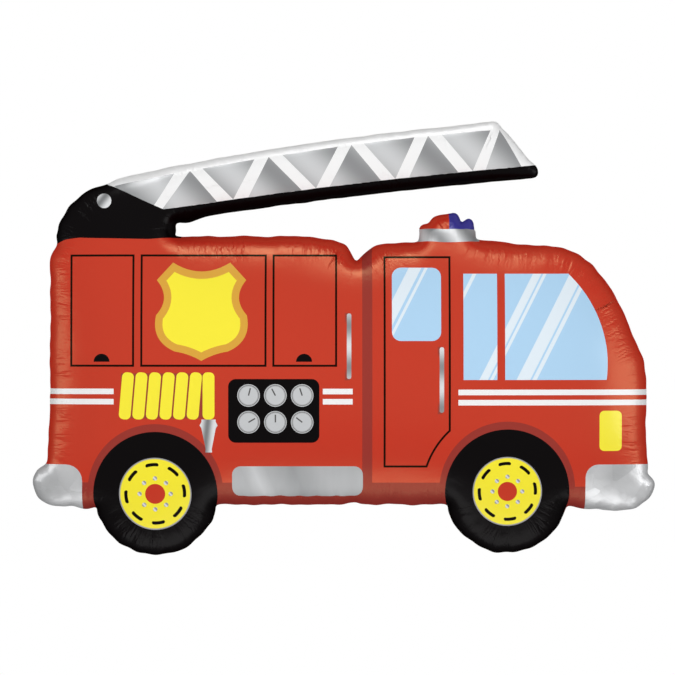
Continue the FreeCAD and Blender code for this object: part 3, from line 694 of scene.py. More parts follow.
# how the film relaxes: distances from the weld, and shares of a move in one round
FIRST_FOLDS = (11 * MM, 30 * MM)  # shortest and longest fold of each film
SHARED_FOLDS = (14 * MM, 34 * MM)
SCALLOPS = (26 * MM, 80 * MM)
GAS_PUSH = 0.014 * MM
PULL = 0.62
EVENING = 0.12
SOLVER_ROUNDS = 900


class Film:
    """The flat cut of one film and, once filled, both films."""

    def __init__(self, sizes, areas):
        rng = np.random.default_rng(sizes.seed)
        self.cut(self.swollen_weld(sizes), sizes, areas, rng)
        self.trace_weld()
        self.label(areas)
        self.raise_film(sizes)
        self.pucker(sizes, rng)

    @staticmethod
    def swollen_weld(sizes):
        """The outline of the filled film, in steps of the weld's."""
        loop_reach = 1.1 * MM
        weld = rounded(filled_in(resampled(weld_outline(), 1 * MM)), 0.5 * sizes.round_off)
        weld = resampled(trued(stood_out(weld, sizes.swell)), 1 * MM)
        weld = resampled(untangled(weld, loop_reach), 1 * MM)
        weld = pushed(rounded(weld, sizes.round_off), LAMP_HUMPS)
        return resampled(untangled(weld, loop_reach), sizes.weld_step)

    def cut(self, weld, sizes, areas, rng):
        """The flat film in triangles, finer near the weld, with edges along every print."""
        tree = tree_of(weld)
        prints = [split_edges(line, 4 * MM) for name, lines in areas for line in lines]
        kept = [inside(line, weld) | (nearest(tree, line)[1] < 8 * MM) for line in prints]
        print_tree = tree_of(np.vstack([line[near] for line, near in zip(prints, kept) if near.any()]))
        grid = []
        for step, fine in ((sizes.weld_step, True), (sizes.inner_step, False)):
            points = lattice(weld.min(0), weld.max(0), step)
            points = points[inside(points, weld)]
            depth = nearest(tree, points)[1]
            points = points[((depth < sizes.fine_band) == fine) & (depth > 0.6 * sizes.weld_step)]
            grid.append(points[nearest(print_tree, points)[1] > 0.5 * step])
        grid = np.vstack(grid)
        grid += rng.uniform(-0.1, 0.1, grid.shape) * sizes.weld_step
        points = [weld, grid]
        edges = [(k, (k + 1) % len(weld)) for k in range(len(weld))]
        start = len(weld) + len(grid)
        for line, near in zip(prints, kept):
            points.append(line)
            count = len(line)
            for k in range(count):
                after = (k + 1) % count
                if near[k] or near[after]:
                    edges.append((start + k, start + after))
            start += count
        given = [Vector(p) for p in np.vstack(points)]
        whole = list(range(len(weld)))
        flat, _, faces, *sources = delaunay_2d_cdt(given, edges, [whole], 0, 0.001 * MM)
        flat = np.array([tuple(p) for p in flat])
        faces = np.array([face for face, source in zip(faces, sources[2]) if source])
        used, index = np.unique(faces, return_inverse=True)
        self.flat, self.faces = flat[used], index.reshape(-1, 3)
        area = doubled_areas(self.flat, self.faces)
        self.faces[area < 0] = self.faces[area < 0][:, ::-1]
        self.area = np.maximum(np.abs(area) / 2, 0.001 * MM * MM)

    def trace_weld(self):
        """The weld's loop, its length so far and its direction, and how far each point lies from it."""
        edges = {tuple(e) for tri in self.faces.tolist() for e in zip(tri, tri[1:] + tri[:1])}
        follow = {a: b for a, b in edges if (b, a) not in edges}
        here = next(iter(follow))
        loop = []
        while here in follow:
            loop.append(here)
            here = follow.pop(here)
        if follow:
            raise RuntimeError(f"the weld is broken: {len(loop)} and {len(follow)} edges")
        self.loop = np.array(loop)
        line = self.flat[self.loop]
        self.along = np.r_[0, np.cumsum(np.linalg.norm(np.diff(line, axis=0), axis=1))]
        self.tangent = directions(line, 2)
        self.near, self.depth = nearest(tree_of(line), self.flat)

    def label(self, areas):
        """The print that each face carries, as its number."""
        middles = self.flat[self.faces].mean(1)
        self.zone = np.full(len(self.faces), len(areas))
        for number in reversed(range(len(areas))):
            for line in areas[number][1]:
                low, high = line.min(0), line.max(0)
                close = np.where(((middles > low) & (middles < high)).all(1))[0]
                self.zone[close[inside(middles[close], line)]] = number
        self.names = [name for name, lines in areas] + ["body"]

    def raise_film(self, sizes):
        """The height of a filled section: the root of a stretched skin's, which is round over a long lobe."""
        count = len(self.flat)
        rows, columns, weights = [], [], []
        load = np.zeros(count)
        for k in range(3):
            i, j, o = self.faces[:, k], self.faces[:, (k + 1) % 3], self.faces[:, (k + 2) % 3]
            to_i, to_j = self.flat[i] - self.flat[o], self.flat[j] - self.flat[o]
            cotangent = (to_i * to_j).sum(1) / (4 * self.area)
            rows += [i, j]
            columns += [j, i]
            weights += [cotangent, cotangent]
            np.add.at(load, i, self.area / 3)
        rows, columns, weights = np.concatenate(rows), np.concatenate(columns), np.concatenate(weights)
        diagonal = np.bincount(rows, weights, count)
        free = np.ones(count)
        free[self.loop] = 0

        def apply(values):
            return free * (diagonal * values - np.bincount(rows, weights * values[columns], count))

        height = np.zeros(count)
        rest = load * free
        ahead = rest / diagonal
        direction = ahead.copy()
        product = rest @ ahead
        for _ in range(SOLVER_ROUNDS):
            moved = apply(direction)
            step = product / (direction @ moved)
            height += step * direction
            rest -= step * moved
            if np.abs(rest).max() < 1e-12:
                break
            ahead = rest / diagonal
            product, before = rest @ ahead, product
            direction = ahead + product / before * direction
        self.height = sizes.puff * np.sqrt(2 * np.maximum(height, 0))

    def pucker(self, sizes, rng):
        """Both films relaxed with spare length along the weld, pushed out by the gas."""
        count = len(self.flat)
        inner = np.setdiff1d(np.arange(count), self.loop)
        self.back_of = np.arange(count)
        self.back_of[inner] = count + np.arange(len(inner))
        front = np.stack([self.flat[:, 0], -self.height, self.flat[:, 1]], 1)
        base = np.vstack([front, front[inner] * [1, -1, 1]])
        both = np.vstack([self.faces, self.back_of[self.faces][:, ::-1]])
        depth, near = (np.r_[values, values[inner]] for values in (self.depth, self.near))
        tangent = self.tangent[near]
        # edges, both ways and sorted by their start
        pairs = np.vstack([both[:, [0, 1]], both[:, [1, 2]], both[:, [2, 0]]])
        pairs = np.unique(np.vstack([pairs, pairs[:, ::-1]]), axis=0)
        start, finish = pairs[:, 0], pairs[:, 1]
        firsts = np.r_[0, np.where(np.diff(start))[0] + 1]
        valence = np.diff(np.r_[firsts, len(start)])[:, None]
        # the length that each edge was cut to
        run = base[finish] - base[start]
        reach = np.linalg.norm(run, axis=1)
        way = (run[:, 0] * tangent[start, 0] + run[:, 2] * tangent[start, 1]) / reach
        share = self.slack_share(rng)
        inwards = np.exp(-(((depth[start] + depth[finish]) / 2 / sizes.slack_band) ** 2))
        rest = reach * (1 + sizes.slack * share[near][start] * inwards * way**2)
        # the weld is drawn in between puckers, and the film beside it too
        scallop = self.waves(rng, SCALLOPS)
        away = np.stack([tangent[:, 1], np.zeros(len(near)), -tangent[:, 0]], 1)
        base += away * (sizes.scallop * (scallop * share)[near] * np.exp(-depth / (11 * MM)))[:, None]
        # first folds across the weld, each film with its own and one shared at the weld
        moved = base.copy()
        outward = self.normals(base, both)
        shared = self.waves(rng, SHARED_FOLDS)
        behind = np.arange(len(base)) >= count
        mix = np.exp(-depth / (9 * MM))
        for own, sign in ((~behind, 1), (behind, -1)):
            folds = self.waves(rng, FIRST_FOLDS) + 0.5 * scallop
            mixed = sign * shared[near] * mix + folds[near] * (1 - mix)
            push = sizes.fold * mixed * np.sqrt(share)[near] * np.exp(-depth / (20 * MM))
            moved[own] += (outward * push[:, None])[own]
        gas = GAS_PUSH * np.exp(-depth / (30 * MM)) * (1 - np.exp(-depth / (6 * MM)))
        # the film is held to its filled form: hardly near the weld, more further in and right at the weld
        deep = np.clip((depth - 22 * MM) / (60 * MM), 0, 1)
        hold = 0.0015 + 0.2 * deep**2 + 0.12 * np.exp(-((depth / (4 * MM)) ** 2))
        for step in range(sizes.rounds):
            run = moved[finish] - moved[start]
            reach = np.sqrt(np.einsum("ij,ij->i", run, run))
            run *= (1 - rest / reach)[:, None]
            moved += PULL * np.add.reduceat(run, firsts) / valence
            if step % 4 == 0:
                offset = moved - base
                moved += EVENING * (np.add.reduceat(offset[finish], firsts) / valence - offset)
            if step % 12 == 0:
                outward = self.normals(moved, both)
            moved += outward * gas[:, None]
            moved -= (moved - base) * hold[:, None]
        self.points = moved
        self.outward = self.normals(moved, both)
        self.places = np.stack([self.along[near], depth], 1)

    def slack_share(self, rng):
        """Each stretch of the weld's share of spare length: more at thick lobes and round bulges."""
        swing = np.zeros(len(self.along))
        for waves in range(2, 14):
            turns = 2 * math.pi * waves * self.along / self.along[-1]
            swing += rng.normal() * np.cos(turns + rng.uniform(0, 6.3)) / 12**0.5
        thick = np.zeros(len(self.along))
        band = (self.depth > 30 * MM) & (self.depth < 60 * MM)
        np.maximum.at(thick, self.near[band], self.height[band])
        kernel = np.hanning(61)
        wide = np.convolve(np.r_[thick[-30:], thick, thick[:30]], kernel / kernel.sum(), "valid")
        fullness = np.clip(wide / (60 * MM), 0.1, 1.3)
        bulge = np.clip(self.turning(40 * MM), 0, 20)
        return np.clip(fullness * (1 + 0.3 * swing) + 0.07 * bulge, 0.02, 2.2)

    def waves(self, rng, lengths):
        """Uneven waves along the weld, about 1 high, between a shortest and a longest one."""
        total = self.along[-1]
        wave = np.zeros(len(self.along))
        for size in np.linspace(*lengths, 16):
            turns = 2 * math.pi * round(total / size) * self.along / total
            wave += rng.normal() * np.cos(turns + rng.uniform(0, 2 * math.pi)) / 8**0.5
        return wave

    def turning(self, reach):
        """How sharply the weld turns, per metre, over a reach; more than 0 where it bulges out."""
        steps = max(1, int(reach / 2 / (self.along[-1] / len(self.along))))
        ahead, behind = np.roll(self.tangent, -steps, 0), np.roll(self.tangent, steps, 0)
        cross = behind[:, 0] * ahead[:, 1] - behind[:, 1] * ahead[:, 0]
        return np.arcsin(np.clip(cross, -1, 1)) / reach

    @staticmethod
    def normals(points, faces):
        """Which way the film faces at each point."""
        a, b, c = (points[faces[:, k]] for k in range(3))
        face = np.cross(b - a, c - a)
        total = np.zeros_like(points)
        for k in range(3):
            for axis in range(3):
                total[:, axis] += np.bincount(faces[:, k], face[:, axis], len(points))
        size = np.linalg.norm(total, axis=1)
        return total / np.maximum(size, 1e-20)[:, None]


films = {}


def the_film():
    """The film for the sizes as they are set, filled once."""
    groups = (film_sizes(), print_sizes())
    key = tuple(getattr(sizes, name) for sizes in groups for name in type(sizes).__annotations__)
    if key not in films:
        films[key] = Film(film_sizes(), printed_areas())
    return films[key]


def new_piece(name, points, faces, normals=None, places=None):
    """A smooth mesh from some of the points, with their normals and their places along the weld."""
    used, index = np.unique(faces, return_inverse=True)
    mesh = bpy.data.meshes.new(name)
    mesh.from_pydata(points[used].tolist(), [], index.reshape(faces.shape).tolist())
    for polygon in mesh.polygons:
        polygon.use_smooth = True
    if normals is not None:
        mesh.normals_split_custom_set_from_vertices(normals[used].tolist())
    if places is not None:
        layer = mesh.uv_layers.new(name="weld")
        layer.data.foreach_set("uv", places[faces.ravel()].ravel())
    mesh.update()
    piece = bpy.data.objects.new(name, mesh)
    bpy.context.scene.collection.objects.link(piece)
    return piece


def film_piece(name, zone, material, slot, *nodes):
    """The parts of both films that carry one print."""
    made = the_film()
    front = made.faces[made.zone == made.names.index(zone)]
    faces = np.vstack([front, made.back_of[front][:, ::-1]])
    piece = new_piece(name, made.points, faces, made.outward, made.places)
    piece.data.materials.append(material)
    finish_piece(piece, slot, *nodes)


def finish_piece(piece, slot, *nodes):
    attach(piece, "root")
    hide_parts(*nodes)


# ---------------------------------------------------------------- inks

GLEAM = 0.03  # share of the foil that shines through an ink
BLACK_GLEAM = 0.005
SILVER = (0.9, 0.9, 0.9)
WARM = (0.95, 0.85, 0.45)  # foil seen through red ink
EDGE = 0.1  # how bright the foil stays where it turns away
# dark and light ends of the foil's grey, between which most pieces paint their reflections
FOIL_DARK, FOIL_LIGHT = (0.22, 0.225, 0.23), (0.78, 0.79, 0.8)


class Wire:
    """A shader value that can be reckoned with like a number."""

    def __init__(self, tree, socket):
        self.tree = tree
        self.socket = socket

    def math(self, operation, *others, clamp=False):
        return reckoned(self.tree, operation, (self, *others), clamp)

    def beside(self, output):
        """Another output of the same node."""
        return Wire(self.tree, self.socket.node.outputs[output])

    def __add__(self, other):
        return self.math("ADD", other)

    def __sub__(self, other):
        return self.math("SUBTRACT", other)

    def __mul__(self, other):
        return self.math("MULTIPLY", other)

    def __truediv__(self, other):
        return self.math("DIVIDE", other)

    def __rsub__(self, other):
        return reckoned(self.tree, "SUBTRACT", (other, self))

    def __abs__(self):
        return self.math("ABSOLUTE")

    __radd__ = __add__
    __rmul__ = __mul__

    def most(self, other):
        return self.math("MAXIMUM", other)

    def least(self, other):
        return self.math("MINIMUM", other)

    def inside(self, soft=0.5 * MM):
        """1 where a distance is below 0 and 0 where it is above, with a soft edge."""
        return self.math("MULTIPLY_ADD", -1 / soft, 0.5, clamp=True)

    def wave(self, size, shift=0.0):
        """A smooth wave from 0 to 1 over a length."""
        return 0.5 + 0.5 * (self * (2 * math.pi / size) + shift).math("SINE")


def plug(tree, value, socket):
    if isinstance(value, Wire):
        tree.links.new(value.socket, socket)
    else:
        socket.default_value = value


def reckoned(tree, operation, values, clamp=False):
    """The result of a Math node on numbers and wires."""
    node = tree.nodes.new("ShaderNodeMath")
    node.operation = operation
    node.use_clamp = clamp
    for place, value in zip(node.inputs, values):
        plug(tree, value, place)
    return Wire(tree, node.outputs[0])


def distance(over, up):
    """How far a point lies from where both wires are 0."""
    return (over * over + up * up).math("SQRT")


def blended(tree, share, first, second):
    """The output of two shaders mixed, by the second's share."""
    node = tree.nodes.new("ShaderNodeMixShader")
    plug(tree, share, node.inputs[0])
    tree.links.new(first, node.inputs[1])
    tree.links.new(second, node.inputs[2])
    return node.outputs[0]


def looked_at(tree):
    """1 for a ray from the camera, off a mirror or through something clear."""
    rays = tree.nodes.new("ShaderNodeLightPath")
    kinds = [Wire(tree, rays.outputs[f"Is {kind} Ray"]) for kind in ("Camera", "Glossy", "Transmission")]
    return reduce(Wire.most, kinds)


def solid(colour):
    return colour if isinstance(colour, Wire) else (*colour, 1.0)


class Ink:
    """A material under way, with the film's own coordinates along X and Z."""

    def __init__(self, name, roughness=0.3, gleam=GLEAM, metallic=0.0, tint=SILVER):
        self.material = bpy.data.materials.new(name)
        self.material.use_nodes = True
        self.tree = self.material.node_tree
        self.shader = self.tree.nodes["Principled BSDF"]
        self.foil = self.tree.nodes.new("ShaderNodeBsdfPrincipled")
        self.foil.inputs["Base Color"].default_value = (*tint, 1.0)
        for shader, metal in ((self.shader, metallic), (self.foil, 1.0)):
            shader.inputs["Roughness"].default_value = roughness
            shader.inputs["Metallic"].default_value = metal
            shader.inputs["Specular IOR Level"].default_value = 0.0
            shader.inputs["Specular Tint"].default_value = (EDGE, EDGE, EDGE, 1.0)
        self.gleam = gleam
        self.place = self.node("ShaderNodeTexCoord", output="Object")
        self.x = self.node("ShaderNodeSeparateXYZ", [self.place], "X")
        self.z = self.x.beside("Z")

    def node(self, kind, values=(), output=0, **settings):
        """An output of a new node, its settings set first and then its sockets."""
        node = self.tree.nodes.new(kind)
        for key, value in settings.items():
            setattr(node, key, value)
        pairs = values.items() if isinstance(values, dict) else enumerate(values)
        for key, value in pairs:
            plug(self.tree, value, node.inputs[key])
        return Wire(self.tree, node.outputs[output])

    def mix(self, share, first, second):
        """Two colours mixed; each is a colour or a wire."""
        values = {0: share, 6: solid(first), 7: solid(second)}
        return self.node("ShaderNodeMix", values, 2, data_type="RGBA")

    def box(self, left, right, low, high):
        """Distance outside an upright box, below 0 within it."""
        across = abs(self.x - (left + right) / 2) - (right - left) / 2
        return across.most(abs(self.z - (low + high) / 2) - (high - low) / 2)

    def reach(self, x, z):
        """Distance from a point."""
        return distance(self.x - x, self.z - z)

    def noise(self, scale, detail=2.0, stretch=(1, 1, 1)):
        place = self.node("ShaderNodeMapping", {"Vector": self.place, "Scale": stretch})
        return self.node("ShaderNodeTexNoise", {"Vector": place, "Scale": scale, "Detail": detail})

    def creased(self, height, strength, deep):
        """The shading normal of a height over the film."""
        return self.node("ShaderNodeBump", {"Strength": strength, "Distance": deep, "Height": height})

    def uneven(self, scale=22, strength=0.3):
        """The shading normal of a gently uneven film."""
        return self.creased(self.noise(scale, 3), strength, 1.2 * MM)

    def drawn(self, strength=0.9):
        """The shading normal of fine creases that run in from the weld, over a gently uneven film."""
        place = self.node("ShaderNodeUVMap", uv_map="weld")
        depth = self.node("ShaderNodeSeparateXYZ", [place], "Y")
        along = self.node("ShaderNodeMapping", {"Vector": place, "Scale": (1.0, 0.22, 1.0)})
        fine = self.node("ShaderNodeTexNoise", {"Vector": along, "Scale": 95, "Detail": 1.5})
        patches = self.node("ShaderNodeTexNoise", {"Vector": along, "Scale": 17, "Detail": 1.0})
        band = (abs(depth - 21 * MM) - 11 * MM).inside(20 * MM)
        sharp = abs(fine - 0.5).least(0.14) * 5.0
        height = sharp * band * (patches * 3.2 - 1.1).least(1.0).most(0.0) + self.noise(22, 3) * 0.8
        return self.creased(height, strength, 1.5 * MM)

    def done(self, colour, **wired):
        """The material, with a share of foil mixed in where it gleams through."""
        plug(self.tree, solid(colour), self.shader.inputs["Base Color"])
        for key, value in wired.items():
            plug(self.tree, value, self.shader.inputs[key])
        surface = self.shader.outputs[0]
        if isinstance(self.gleam, Wire) or self.gleam > 0:
            if "Normal" in wired:
                plug(self.tree, wired["Normal"], self.foil.inputs["Normal"])
            surface = blended(self.tree, self.gleam, surface, self.foil.outputs[0])
        else:
            self.tree.nodes.remove(self.foil)
        self.tree.links.new(surface, self.tree.nodes["Material Output"].inputs["Surface"])
        return self.material


def plain(name, colour, gleam=GLEAM, tint=SILVER):
    ink = Ink(name, gleam=gleam, tint=tint)
    return ink.done(colour, Normal=ink.drawn())


def foil(name, value, crinkle=0.3, sheen=0.15):
    """Bare metallized film, its grey from a wire between 0 and 1: painted reflection and shade bands on most
    pieces, random tone on the tail.
    """
    ink = Ink(name, 0.35, 0.0, sheen)
    return ink.done(ink.mix(value(ink), FOIL_DARK, FOIL_LIGHT), Normal=ink.uneven(30, crinkle))


# painted reflections over bare foil, as soft light and dark bands: how they run along X and Z, their length
# in millimetres, shift, gain and least
PAINTED_REFLECTIONS = {
    "nozzle_foil": (1, -0.12, 22, 2.0, 1, 0),
    "handle_foil": (0, 1, 60, -1.74, 0.85, 0.1),
    "bolt_foil": (1, -0.8, 30, 0.5, 1, 0),
    "beacon_foil": (1, 0.8, 48, -2.09, 0.6, 0.1),
    "pane_foil": (1, 1.1, 128, 0.5, 0.6, 0.12),
}


def foil_with_painted_reflections(name, crinkle=0.3):
    # the foil's grey rises and falls along each band: painted reflection
    along, up, size, shift, gain, least = PAINTED_REFLECTIONS[name]
    return foil(name, lambda ink: (ink.x * along + ink.z * up).wave(size * MM, shift) * gain + least, crinkle)


def step_foil():
    """A painted highlight band near one end of the running board and a painted shade band over its middle."""
    middle = span("running_board")[0]
    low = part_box("running_board")[0]

    def value(ink):
        lean = ink.x - middle + (ink.z - low.z) * 0.45
        # painted highlight and painted shade, standing in for reflections on the bare foil
        light = (abs(lean + 46 * MM) - 6 * MM).inside(24 * MM) * 0.3
        dark = (abs(lean - 12 * MM) - 12 * MM).inside(60 * MM) * 0.3
        return 0.38 + light - dark + ink.noise(9, 2, (6, 1, 0.3)) * 0.16

    return foil("step_foil", value, sheen=0.05)


def bumper_foil():
    """Bare film crumpled into flat facets over a tight round lobe, each facet painted lighter or darker by
    its slope as shade, over random grey mottling.
    """
    ink = Ink("bumper_foil", 0.36, 0.0, 0.3)
    facets = []
    for scale, share in ((34, 1.0), (80, 0.35)):
        cells = ink.node("ShaderNodeTexVoronoi", {"Vector": ink.place, "Scale": scale}, "Color")
        offset = ink.node("ShaderNodeVectorMath", [ink.place, cells.beside("Position")], operation="SUBTRACT")
        tilt = ink.node("ShaderNodeVectorMath", [cells, (0.5, 0.5, 0.5)], operation="SUBTRACT")
        slope = ink.node("ShaderNodeVectorMath", [offset, tilt], "Value", operation="DOT_PRODUCT")
        facets.append(slope * share)
    height = facets[0] + facets[1]
    # painted shade: each facet's grey follows its slope, over random mottling
    grey = ink.noise(14, 2) * 1.3 - 0.15 + (height * 12).least(0.2).most(-0.2)
    colour = ink.mix(grey.least(1.0).most(0.0), (0.38, 0.385, 0.39), (0.66, 0.665, 0.675))
    return ink.done(colour, Normal=ink.creased(height, 0.22, 1.0))


# how far ahead of the rear end each locker starts and ends, in millimetres
LOCKERS = [(33.5, 124.5), (136.5, 317), (328.5, 419.5)]


def body_ink():
    """Engine red with the lockers' and the door's lines, and shades behind the hose and the handles."""
    tints = colours()
    ink = Ink("red_ink", tint=WARM)
    low, high = TOP - 186.5 * MM, TOP - 26 * MM
    lines = [abs(ink.box(REAR + left * MM, REAR + right * MM, low, high)) for left, right in LOCKERS]
    door = ink.box(GAP + 41 * MM, GAP + 135.5 * MM, BOTTOM + 54.5 * MM, TOP - 28.5 * MM)
    # the door's lower corner is cut round the wheel
    door = door.most(TYRE_RADIUS + 36 * MM - ink.reach(WHEELS[1], WHEEL_HEIGHT))
    line = (reduce(Wire.least, [*lines, abs(door)]) - print_sizes().line / 2).inside()
    low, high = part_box("hose")
    shades = [ink.box(low.x + 4 * MM, high.x - 2 * MM, low.z + 1.5 * MM, high.z - 1.5 * MM).inside()]
    for bar in handle_bars():
        (left, bottom), (right, top) = bar.min(0), bar.max(0)
        ends = abs(ink.z - (bottom + top) / 2) - (top - bottom) / 2 + 12 * MM
        near = ink.box(left - 2.6 * MM, right - 2.6 * MM, bottom - 2 * MM, top + 0.5 * MM)
        shades.append(near.inside(1.5 * MM) * (1 - ends.inside(8 * MM)))
    red = ink.mix(reduce(Wire.most, shades), tints.red, tints.dark_red)
    ink.gleam = GLEAM - line * (GLEAM - BLACK_GLEAM)
    return ink.done(ink.mix(line, red, tints.black), Normal=ink.drawn())


# where each glint starts and ends ahead of the gap, along its lean, in millimetres
GLINTS = [(1.6, 20.2), (24.8, 29.4), (99, 104.8), (187, 199.5), (202.3, 207.2), (241, 261), (264, 270.5)]


def window_ink():
    """Pale blue with slanted glints."""
    ink = Ink("blue_ink", 0.28)
    lean = ink.x - 0.51 * ink.z
    bands = []
    for left, right in GLINTS:
        middle = GAP + (left + right) / 2 * MM
        bands.append((abs(lean - middle) - (right - left) / 2 * MM).inside())
    colour = ink.mix(reduce(Wire.most, bands), colours().blue, colours().glint)
    return ink.done(colour, Normal=ink.uneven())


def hub_ink():
    """Yellow with a grey rim, eight silver bolts with a painted lit half and a painted shaded half, and eight
    black slots.
    """
    ink = Ink("hub_ink")
    front_x, front_z = FRONT_WHEEL
    # 1 at the rear wheel; the front one's print is shifted and smaller
    rear = ink.x.math("LESS_THAN", sum(WHEELS) / 2)
    grown = 1 / FRONT_SHRINK + rear * (1 - 1 / FRONT_SHRINK)
    over = (ink.x - front_x + rear * (front_x - WHEELS[0])) * grown
    up = (ink.z - front_z + rear * (front_z - WHEEL_HEIGHT)) * grown
    out = distance(over, up)
    turn = up.math("ARCTAN2", over)
    eighth = math.pi / 4
    rim = (out - HUB_RADIUS + print_sizes().hub_rim).inside(1.0 * MM)
    colour = ink.mix(rim, (0.33, 0.33, 0.35), colours().yellow)
    first = math.radians(6)
    swung = turn + eighth / 2
    slot = swung - ((swung - first) / eighth).math("FLOOR") * eighth - first - eighth / 2
    mark = distance((abs(slot) * out - 7.2 * MM).most(0.0), out - 42.8 * MM) - 2.5 * MM
    colour = ink.mix(mark.inside(), colour, colours().black)
    ink.gleam = GLEAM - mark.inside() * (GLEAM - BLACK_GLEAM)
    bolt = turn - (turn / eighth).math("ROUND") * eighth
    head = distance(bolt * out, out - 22.7 * MM) - 3.2 * MM
    # each bolt head is painted light on one half and painted shade on the other
    half = ((over + up) * 0.7).wave(5.4 * MM, 2.6)
    colour = ink.mix(head.inside(), colour, ink.mix(half, (0.26, 0.26, 0.29), (0.78, 0.78, 0.8)))
    return ink.done(colour, Normal=ink.uneven())


# turns of the six needles from upright, in degrees, upper row first
NEEDLES = [14, -28, -18, 60, 0, -52]


def dial_ink():
    """Pale grey dials, each with a thin double ring and a needle."""
    ink = Ink("dial_ink")
    places, radius = dial_places()
    marks = []
    for (x, z), degrees in zip(places, NEEDLES):
        out = ink.reach(x, z) - radius
        marks += [abs(out + 1.7 * MM) - 0.45 * MM, abs(out + 3.0 * MM) - 0.1 * MM]
        way = math.radians(degrees)
        ahead = (ink.x - x) * math.sin(way) + (ink.z - z) * math.cos(way)
        aside = (ink.x - x) * math.cos(way) - (ink.z - z) * math.sin(way)
        marks.append((abs(ahead - 5.4 * MM) - 5.6 * MM).most(abs(aside) - 0.95 * MM))
    dark = reduce(Wire.least, marks).inside()
    return ink.done(ink.mix(dark, colours().dial, (0.06, 0.055, 0.055)))


# ---------------------------------------------------------------- pieces


def film_pieces(*entries):
    """Pieces of the film, each from its print's name, material and slot, which is not used; a print may have
    two nodes.
    """
    for name, material, slot in entries:
        pair = [f"{name}_front", f"{name}_back"]
        nodes = pair if pair[0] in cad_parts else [name]
        film_piece(f"{name}_film" if name == "body" else f"{name}_print", name, material, slot, *nodes)


class Build(bpy.types.Operator):
    """Base of the operators that build a group of pieces."""

    bl_options = {"REGISTER", "UNDO"}

    def execute(self, context):
        bpy.ops.object.select_all(action="DESELECT")
        self.build()
        return {"FINISHED"}


class BuildBody(Build):
    """Box and cab: the red film with its lines, the dark shade and the white stripes"""

    bl_idname = "balloon.body"
    bl_label = "Body"

    def build(self):
        tints = colours()
        film_pieces(
            ("body", body_ink(), "red_print"),
            ("shade", plain("dark_red_ink", tints.dark_red, 0.015, WARM), "dark_red_print"),
            ("stripes", plain("stripe_ink", tints.white), "white_print"),
        )


class BuildWheels(Build):
    """Tyres, hubs with their bolts and slots, and the hubs' red middles"""

    bl_idname = "balloon.wheels"
    bl_label = "Wheels"

    def build(self):
        tyre = plain("tyre_ink", colours().black, BLACK_GLEAM)
        film_pieces(
            ("rear_tyre", tyre, "black_print"),
            ("front_tyre", tyre, "black_print"),
            ("wheel_hubs", hub_ink(), "yellow_print"),
            ("hub_centres", plain("hub_red_ink", colours().red, tint=WARM), "red_print"),
        )


class BuildBumpers(Build):
    """The two crumpled silver bumpers"""

    bl_idname = "balloon.bumpers"
    bl_label = "Bumpers"

    def build(self):
        silver = bumper_foil()
        film_pieces(("rear_bumper", silver, "bare_foil"), ("front_bumper", silver, "bare_foil"))


class BuildBox(Build):
    """What is printed on the box: shield, hose and nozzle, gauges, latches and running board"""

    bl_idname = "balloon.box"
    bl_label = "Prints on the box"

    def build(self):
        tints = colours()
        yellow = plain("yellow_ink", tints.yellow)
        black = plain("box_black_ink", tints.black, BLACK_GLEAM)
        film_pieces(
            ("shield_rim", plain("gold_ink", tints.gold), "gold_print"),
            ("shield_face", yellow, "yellow_print"),
            ("hose", yellow, "yellow_print"),
            ("hose_nozzle", foil_with_painted_reflections("nozzle_foil"), "bare_foil"),
            ("gauge_board", black, "black_print"),
            ("gauge_dials", dial_ink(), "pale_grey_print"),
            ("latches", black, "black_print"),
            ("running_board", step_foil(), "bare_foil"),
        )


class BuildCab(Build):
    """What is printed on the cab: windows, door handles and headlamp"""

    bl_idname = "balloon.cab"
    bl_label = "Prints on the cab"

    def build(self):
        film_pieces(
            ("windows", window_ink(), "blue_print"),
            ("handles", foil_with_painted_reflections("handle_foil"), "bare_foil"),
            ("headlamp", plain("headlamp_ink", colours().yellow), "yellow_print"),
        )


class BuildLadder(Build):
    """Turntable with its pivot bolt, and the ladder's truss, panes and rail"""

    bl_idname = "balloon.ladder"
    bl_label = "Ladder"

    def build(self):
        tints = colours()
        black = plain("ladder_black_ink", tints.black, BLACK_GLEAM)
        film_pieces(
            ("turntable", black, "black_print"),
            ("pivot_bolt", foil_with_painted_reflections("bolt_foil"), "bare_foil"),
            ("ladder_truss", plain("truss_ink", tints.white), "white_print"),
            ("ladder_panes", foil_with_painted_reflections("pane_foil", 0.15), "bare_foil"),
            ("ladder_rail", black, "black_print"),
        )


class BuildBeacon(Build):
    """The beacon's silver base and its red and blue lamp"""

    bl_idname = "balloon.beacon"
    bl_label = "Beacon"

    def build(self):
        tints = colours()
        film_pieces(
            ("beacon_base", foil_with_painted_reflections("beacon_foil"), "bare_foil"),
            ("beacon_red", plain("beacon_red_ink", tints.red, tint=WARM), "red_print"),
            ("beacon_blue", plain("beacon_blue_ink", tints.deep_blue), "deep_blue_print"),
        )


MARGIN_PLY = 0.2 * MM
MARGIN_LEAN = 0.8  # share of its width by which the margin leans back
# the margin's section: how far out, as a share of its width, and towards which film
MARGIN_SECTION = [(-0.1, -1), (0.5, -1), (1.0, -0.6), (1.0, 0.6), (0.5, 1), (-0.1, 1)]
# the colour that each print takes out over the weld; any other print stops short of it
MARGIN_INKS = {
    "body": "red",
    "shade": "dark_red",
    "stripes": "white",
    "rear_tyre": "black",
    "front_tyre": "black",
    "rear_bumper": "silver",
    "front_bumper": "silver",
    "turntable": "black",
    "ladder_rail": "black",
    "ladder_truss": "white",
    "beacon_base": "silver",
    "beacon_red": "red",
    "beacon_blue": "deep_blue",
}


